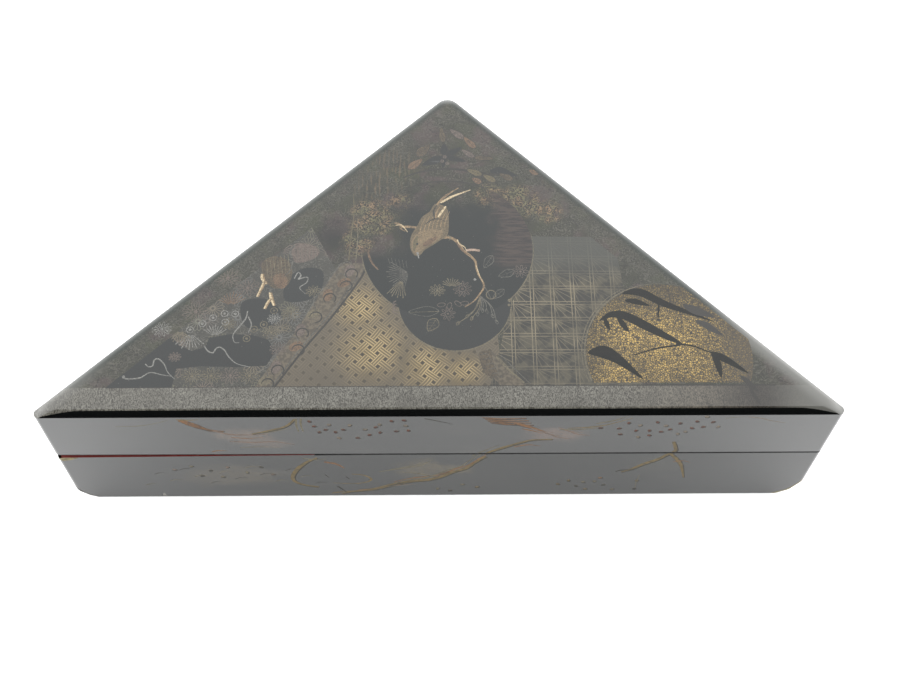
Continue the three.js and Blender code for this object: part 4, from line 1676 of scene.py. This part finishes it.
def paint_seam_shadows(p):
    """Painted shadow lines along the edges on either side of the seam."""
    for i in range(RING_COUNT):
        for edge, rise in ((lid_bottom, SEAM_SHADOW_LINE), (body_top, -SEAM_SHADOW_LINE)):
            if rise < 0 and SIDE_OF[i] == 0 and ring(0)[i].x < RED_SEAM_TO:
                continue
            corners = ((i, 0), (i + 1, 0), (i + 1, rise), (i, rise))
            p.lay([(ROUND[k], edge(on_ring(0, k).x) + lift) for k, lift in corners], "seam")


def seam_ink(start, end, i):
    """The faces that meet in the seam are red where it has opened in front, and elsewhere black with painted
    shadow.
    """
    at_seam = 0 in (start[0], end[0])
    opened = ring(0)[i].x < RED_SEAM_TO and SIDE_OF[i] == 0
    return "seam" if at_seam and not opened else "red"


def lid_skin(finishes):
    skin = Skin("lid_shell", finishes)
    lay_picture(skin, paint_picture(), "field")
    lay_shoulder(skin, "edge", "field")
    top = lambda p: ARRIS + dome(p.x, p.y)
    lay_wall(skin, paint_sides(), "side", lambda p: lid_bottom(p.x), top, rim_places())
    skin.cap(WALL, LID_CEILING, False, "red")
    skin.bands([(WALL, LID_CEILING), (WALL, lid_bottom), (0, lid_bottom)], seam_ink)
    return skin


def body_skin(finishes):
    skin = Skin("body_shell", finishes)
    skin.cap(BASE_EDGE, 0.0, False, "black")
    skin.bands([(BASE_EDGE, 0.0), (0, BASE_EDGE)], "black")
    lay_wall(skin, paint_sides(), "low_side", lambda p: BASE_EDGE, lambda p: body_top(p.x))
    lip = WALL + GAP
    top = SEAM + LIP_RISE
    inside = lip + LIP_WIDTH
    rim = [(0, body_top), (lip, body_top), (lip, top - LIP_EDGE), (lip + LIP_EDGE, top)]
    skin.bands([*rim, (inside, top), (inside, FLOOR)], seam_ink)
    skin.cap(inside, FLOOR, True, "red")
    return skin


# Surroundings


SKY = 2.4  # brightness overhead
HORIZON = 2.9
SKY_FADE = (0.85, 0.42)  # between these heights
BACK_LIGHT = 0.26
SIDE_LIGHT = 1.5
SIDE_FADE = (0.45, 0.95)
DARK_FACING = (0, -0.9455, 0.3256)
DARK_EDGE = (-0.01, 0.05)
DARK_ENDS = (0.32, 0.42)
FLOOR_REACH = 3.0


def set_world():
    """A bright studio, and a dark patch of it that the rounded front shoulder mirrors."""
    world = bpy.data.worlds.new("studio")
    world.use_nodes = True
    bpy.context.scene.world = world
    back = world.node_tree.nodes["Background"]
    back.inputs["Color"].default_value = (1, 1, 1, 1)
    n = Nodes(world.node_tree)
    direction = n.node("TexCoord").outputs["Generated"]
    x, y, z = n.node("SeparateXYZ", (direction,)).outputs
    side = n.size(x)
    sky = n.between(z, *SKY_FADE, SKY, HORIZON)
    tilted = n.ramp(sky, n.ramp(y, BACK_LIGHT, 1.0), n.between(side, *SIDE_FADE, 0.0, SIDE_LIGHT))
    ahead = n.node("VectorMath", (direction, DARK_FACING), operation="DOT_PRODUCT").outputs["Value"]
    aside = n.ramp(n.between(side, *DARK_ENDS), -1.1, ahead)
    mirrored = n.node("LightPath").outputs["Is Glossy Ray"]
    share = n.times(n.between(aside, *DARK_EDGE), mirrored)
    lit = n.node("Mix", {0: share, 2: tilted, 3: 0.0})
    n.feed(back.inputs["Strength"], lit.outputs[0])


def lay_floor():
    mesh = bpy.data.meshes.new("floor")
    corners = [(x * FLOOR_REACH, y * FLOOR_REACH, 0) for x, y in ((-1, -1), (1, -1), (1, 1), (-1, 1))]
    mesh.from_pydata(corners, [], [(0, 1, 2, 3)])
    floor = bpy.data.objects.new("floor", mesh)
    bpy.context.scene.collection.objects.link(floor)
    f = Finish("pale_floor")
    grey = f.mix(f.noise(60, 2), (800, 800, 800), (820, 820, 820))
    mesh.materials.append(f.surface(grey, roughness=0.8, level=0.2))


CAMERA_AT = (-3.99, -284.74, 496.2)
CAMERA_TURN, CAMERA_PITCH, CAMERA_ROLL = (math.radians(v) for v in (1.8, 60.07, 1.35))
CAMERA_LENS = 52.16


def set_camera():
    camera = bpy.data.objects.new("camera", bpy.data.cameras.new("camera"))
    camera.data.lens = CAMERA_LENS
    camera.data.sensor_width = 36
    camera.data.clip_start = 0.01
    sine, cosine = math.sin(CAMERA_TURN), math.cos(CAMERA_TURN)
    level = math.cos(CAMERA_PITCH)
    ahead = Vector((sine * level, cosine * level, -math.sin(CAMERA_PITCH)))
    right = Vector((cosine, -sine, 0))
    up = right.cross(ahead)
    across = right * math.cos(CAMERA_ROLL) + up * math.sin(CAMERA_ROLL)
    upward = up * math.cos(CAMERA_ROLL) - right * math.sin(CAMERA_ROLL)
    turn = Matrix((across, upward, -ahead)).transposed()
    camera.matrix_world = Matrix.Translation(metres(CAMERA_AT)) @ turn.to_4x4()
    bpy.context.scene.collection.objects.link(camera)
    bpy.context.scene.camera = camera


def knock_off(piece, side, cuts, finish):
    """Cuts an acute corner of the body away along planes, and shows what lies under the lacquer."""
    piece.data.materials.append(finish)
    work = bmesh.new()
    work.from_mesh(piece.data)
    spots = work.loops.layers.uv["OFBake"]
    sharp = CORNERS[0 if side < 0 else 1]
    inward = (in_centre() - sharp).normalized()
    for height, reach, level, turn in cuts:
        slant = Matrix.Rotation(math.radians(turn), 2) @ inward
        outer = -Vector((slant.x / reach, slant.y / reach, 1 / height)).normalized()
        through = sharp + inward * (CORNER_ARC + reach)
        near = [f for f in work.faces if (f.calc_center_median().xy * 1000 - sharp).length < NEAR_CORNER]
        near = [f for f in near if f.calc_center_median().z * 1000 < SEAM + 0.2]
        edges = {e for f in near for e in f.edges}
        corners = {v for f in near for v in f.verts}
        cut = bmesh.ops.bisect_plane(
            work,
            geom=[*near, *edges, *corners],
            plane_co=metres((through.x, through.y, level)),
            plane_no=outer,
            clear_outer=True,
        )
        rim = [e for e in cut["geom_cut"] if isinstance(e, bmesh.types.BMEdge)]
        filled = bmesh.ops.triangle_fill(work, edges=rim, use_beauty=True)
        for face in (g for g in filled["geom"] if isinstance(g, bmesh.types.BMFace)):
            face.material_index = len(piece.data.materials) - 1
            if face.normal.dot(outer) < 0:
                face.normal_flip()
            for loop in face.loops:
                flat = loop.vert.co * 1000
                loop[spots].uv = chart("chips", (flat.x - sharp.x) * side, flat.z)
    work.to_mesh(piece.data)
    work.free()


def place(skin, node, slot, wear=()):
    piece = skin.build()
    weld(piece)
    for side, cuts, ink in wear:
        knock_off(piece, side, cuts, skin.finishes[ink])
    apply_shades(piece)
    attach(piece, "root")
    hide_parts(node)
    return piece


set_camera()
set_world()
lay_floor()
finishes = make_finishes()
place(lid_skin(finishes), "lid", "lid_lacquer")
place(body_skin(finishes), "box_body", "side_lacquer", WEAR)
bpy.context.scene.view_settings.view_transform = "Standard"
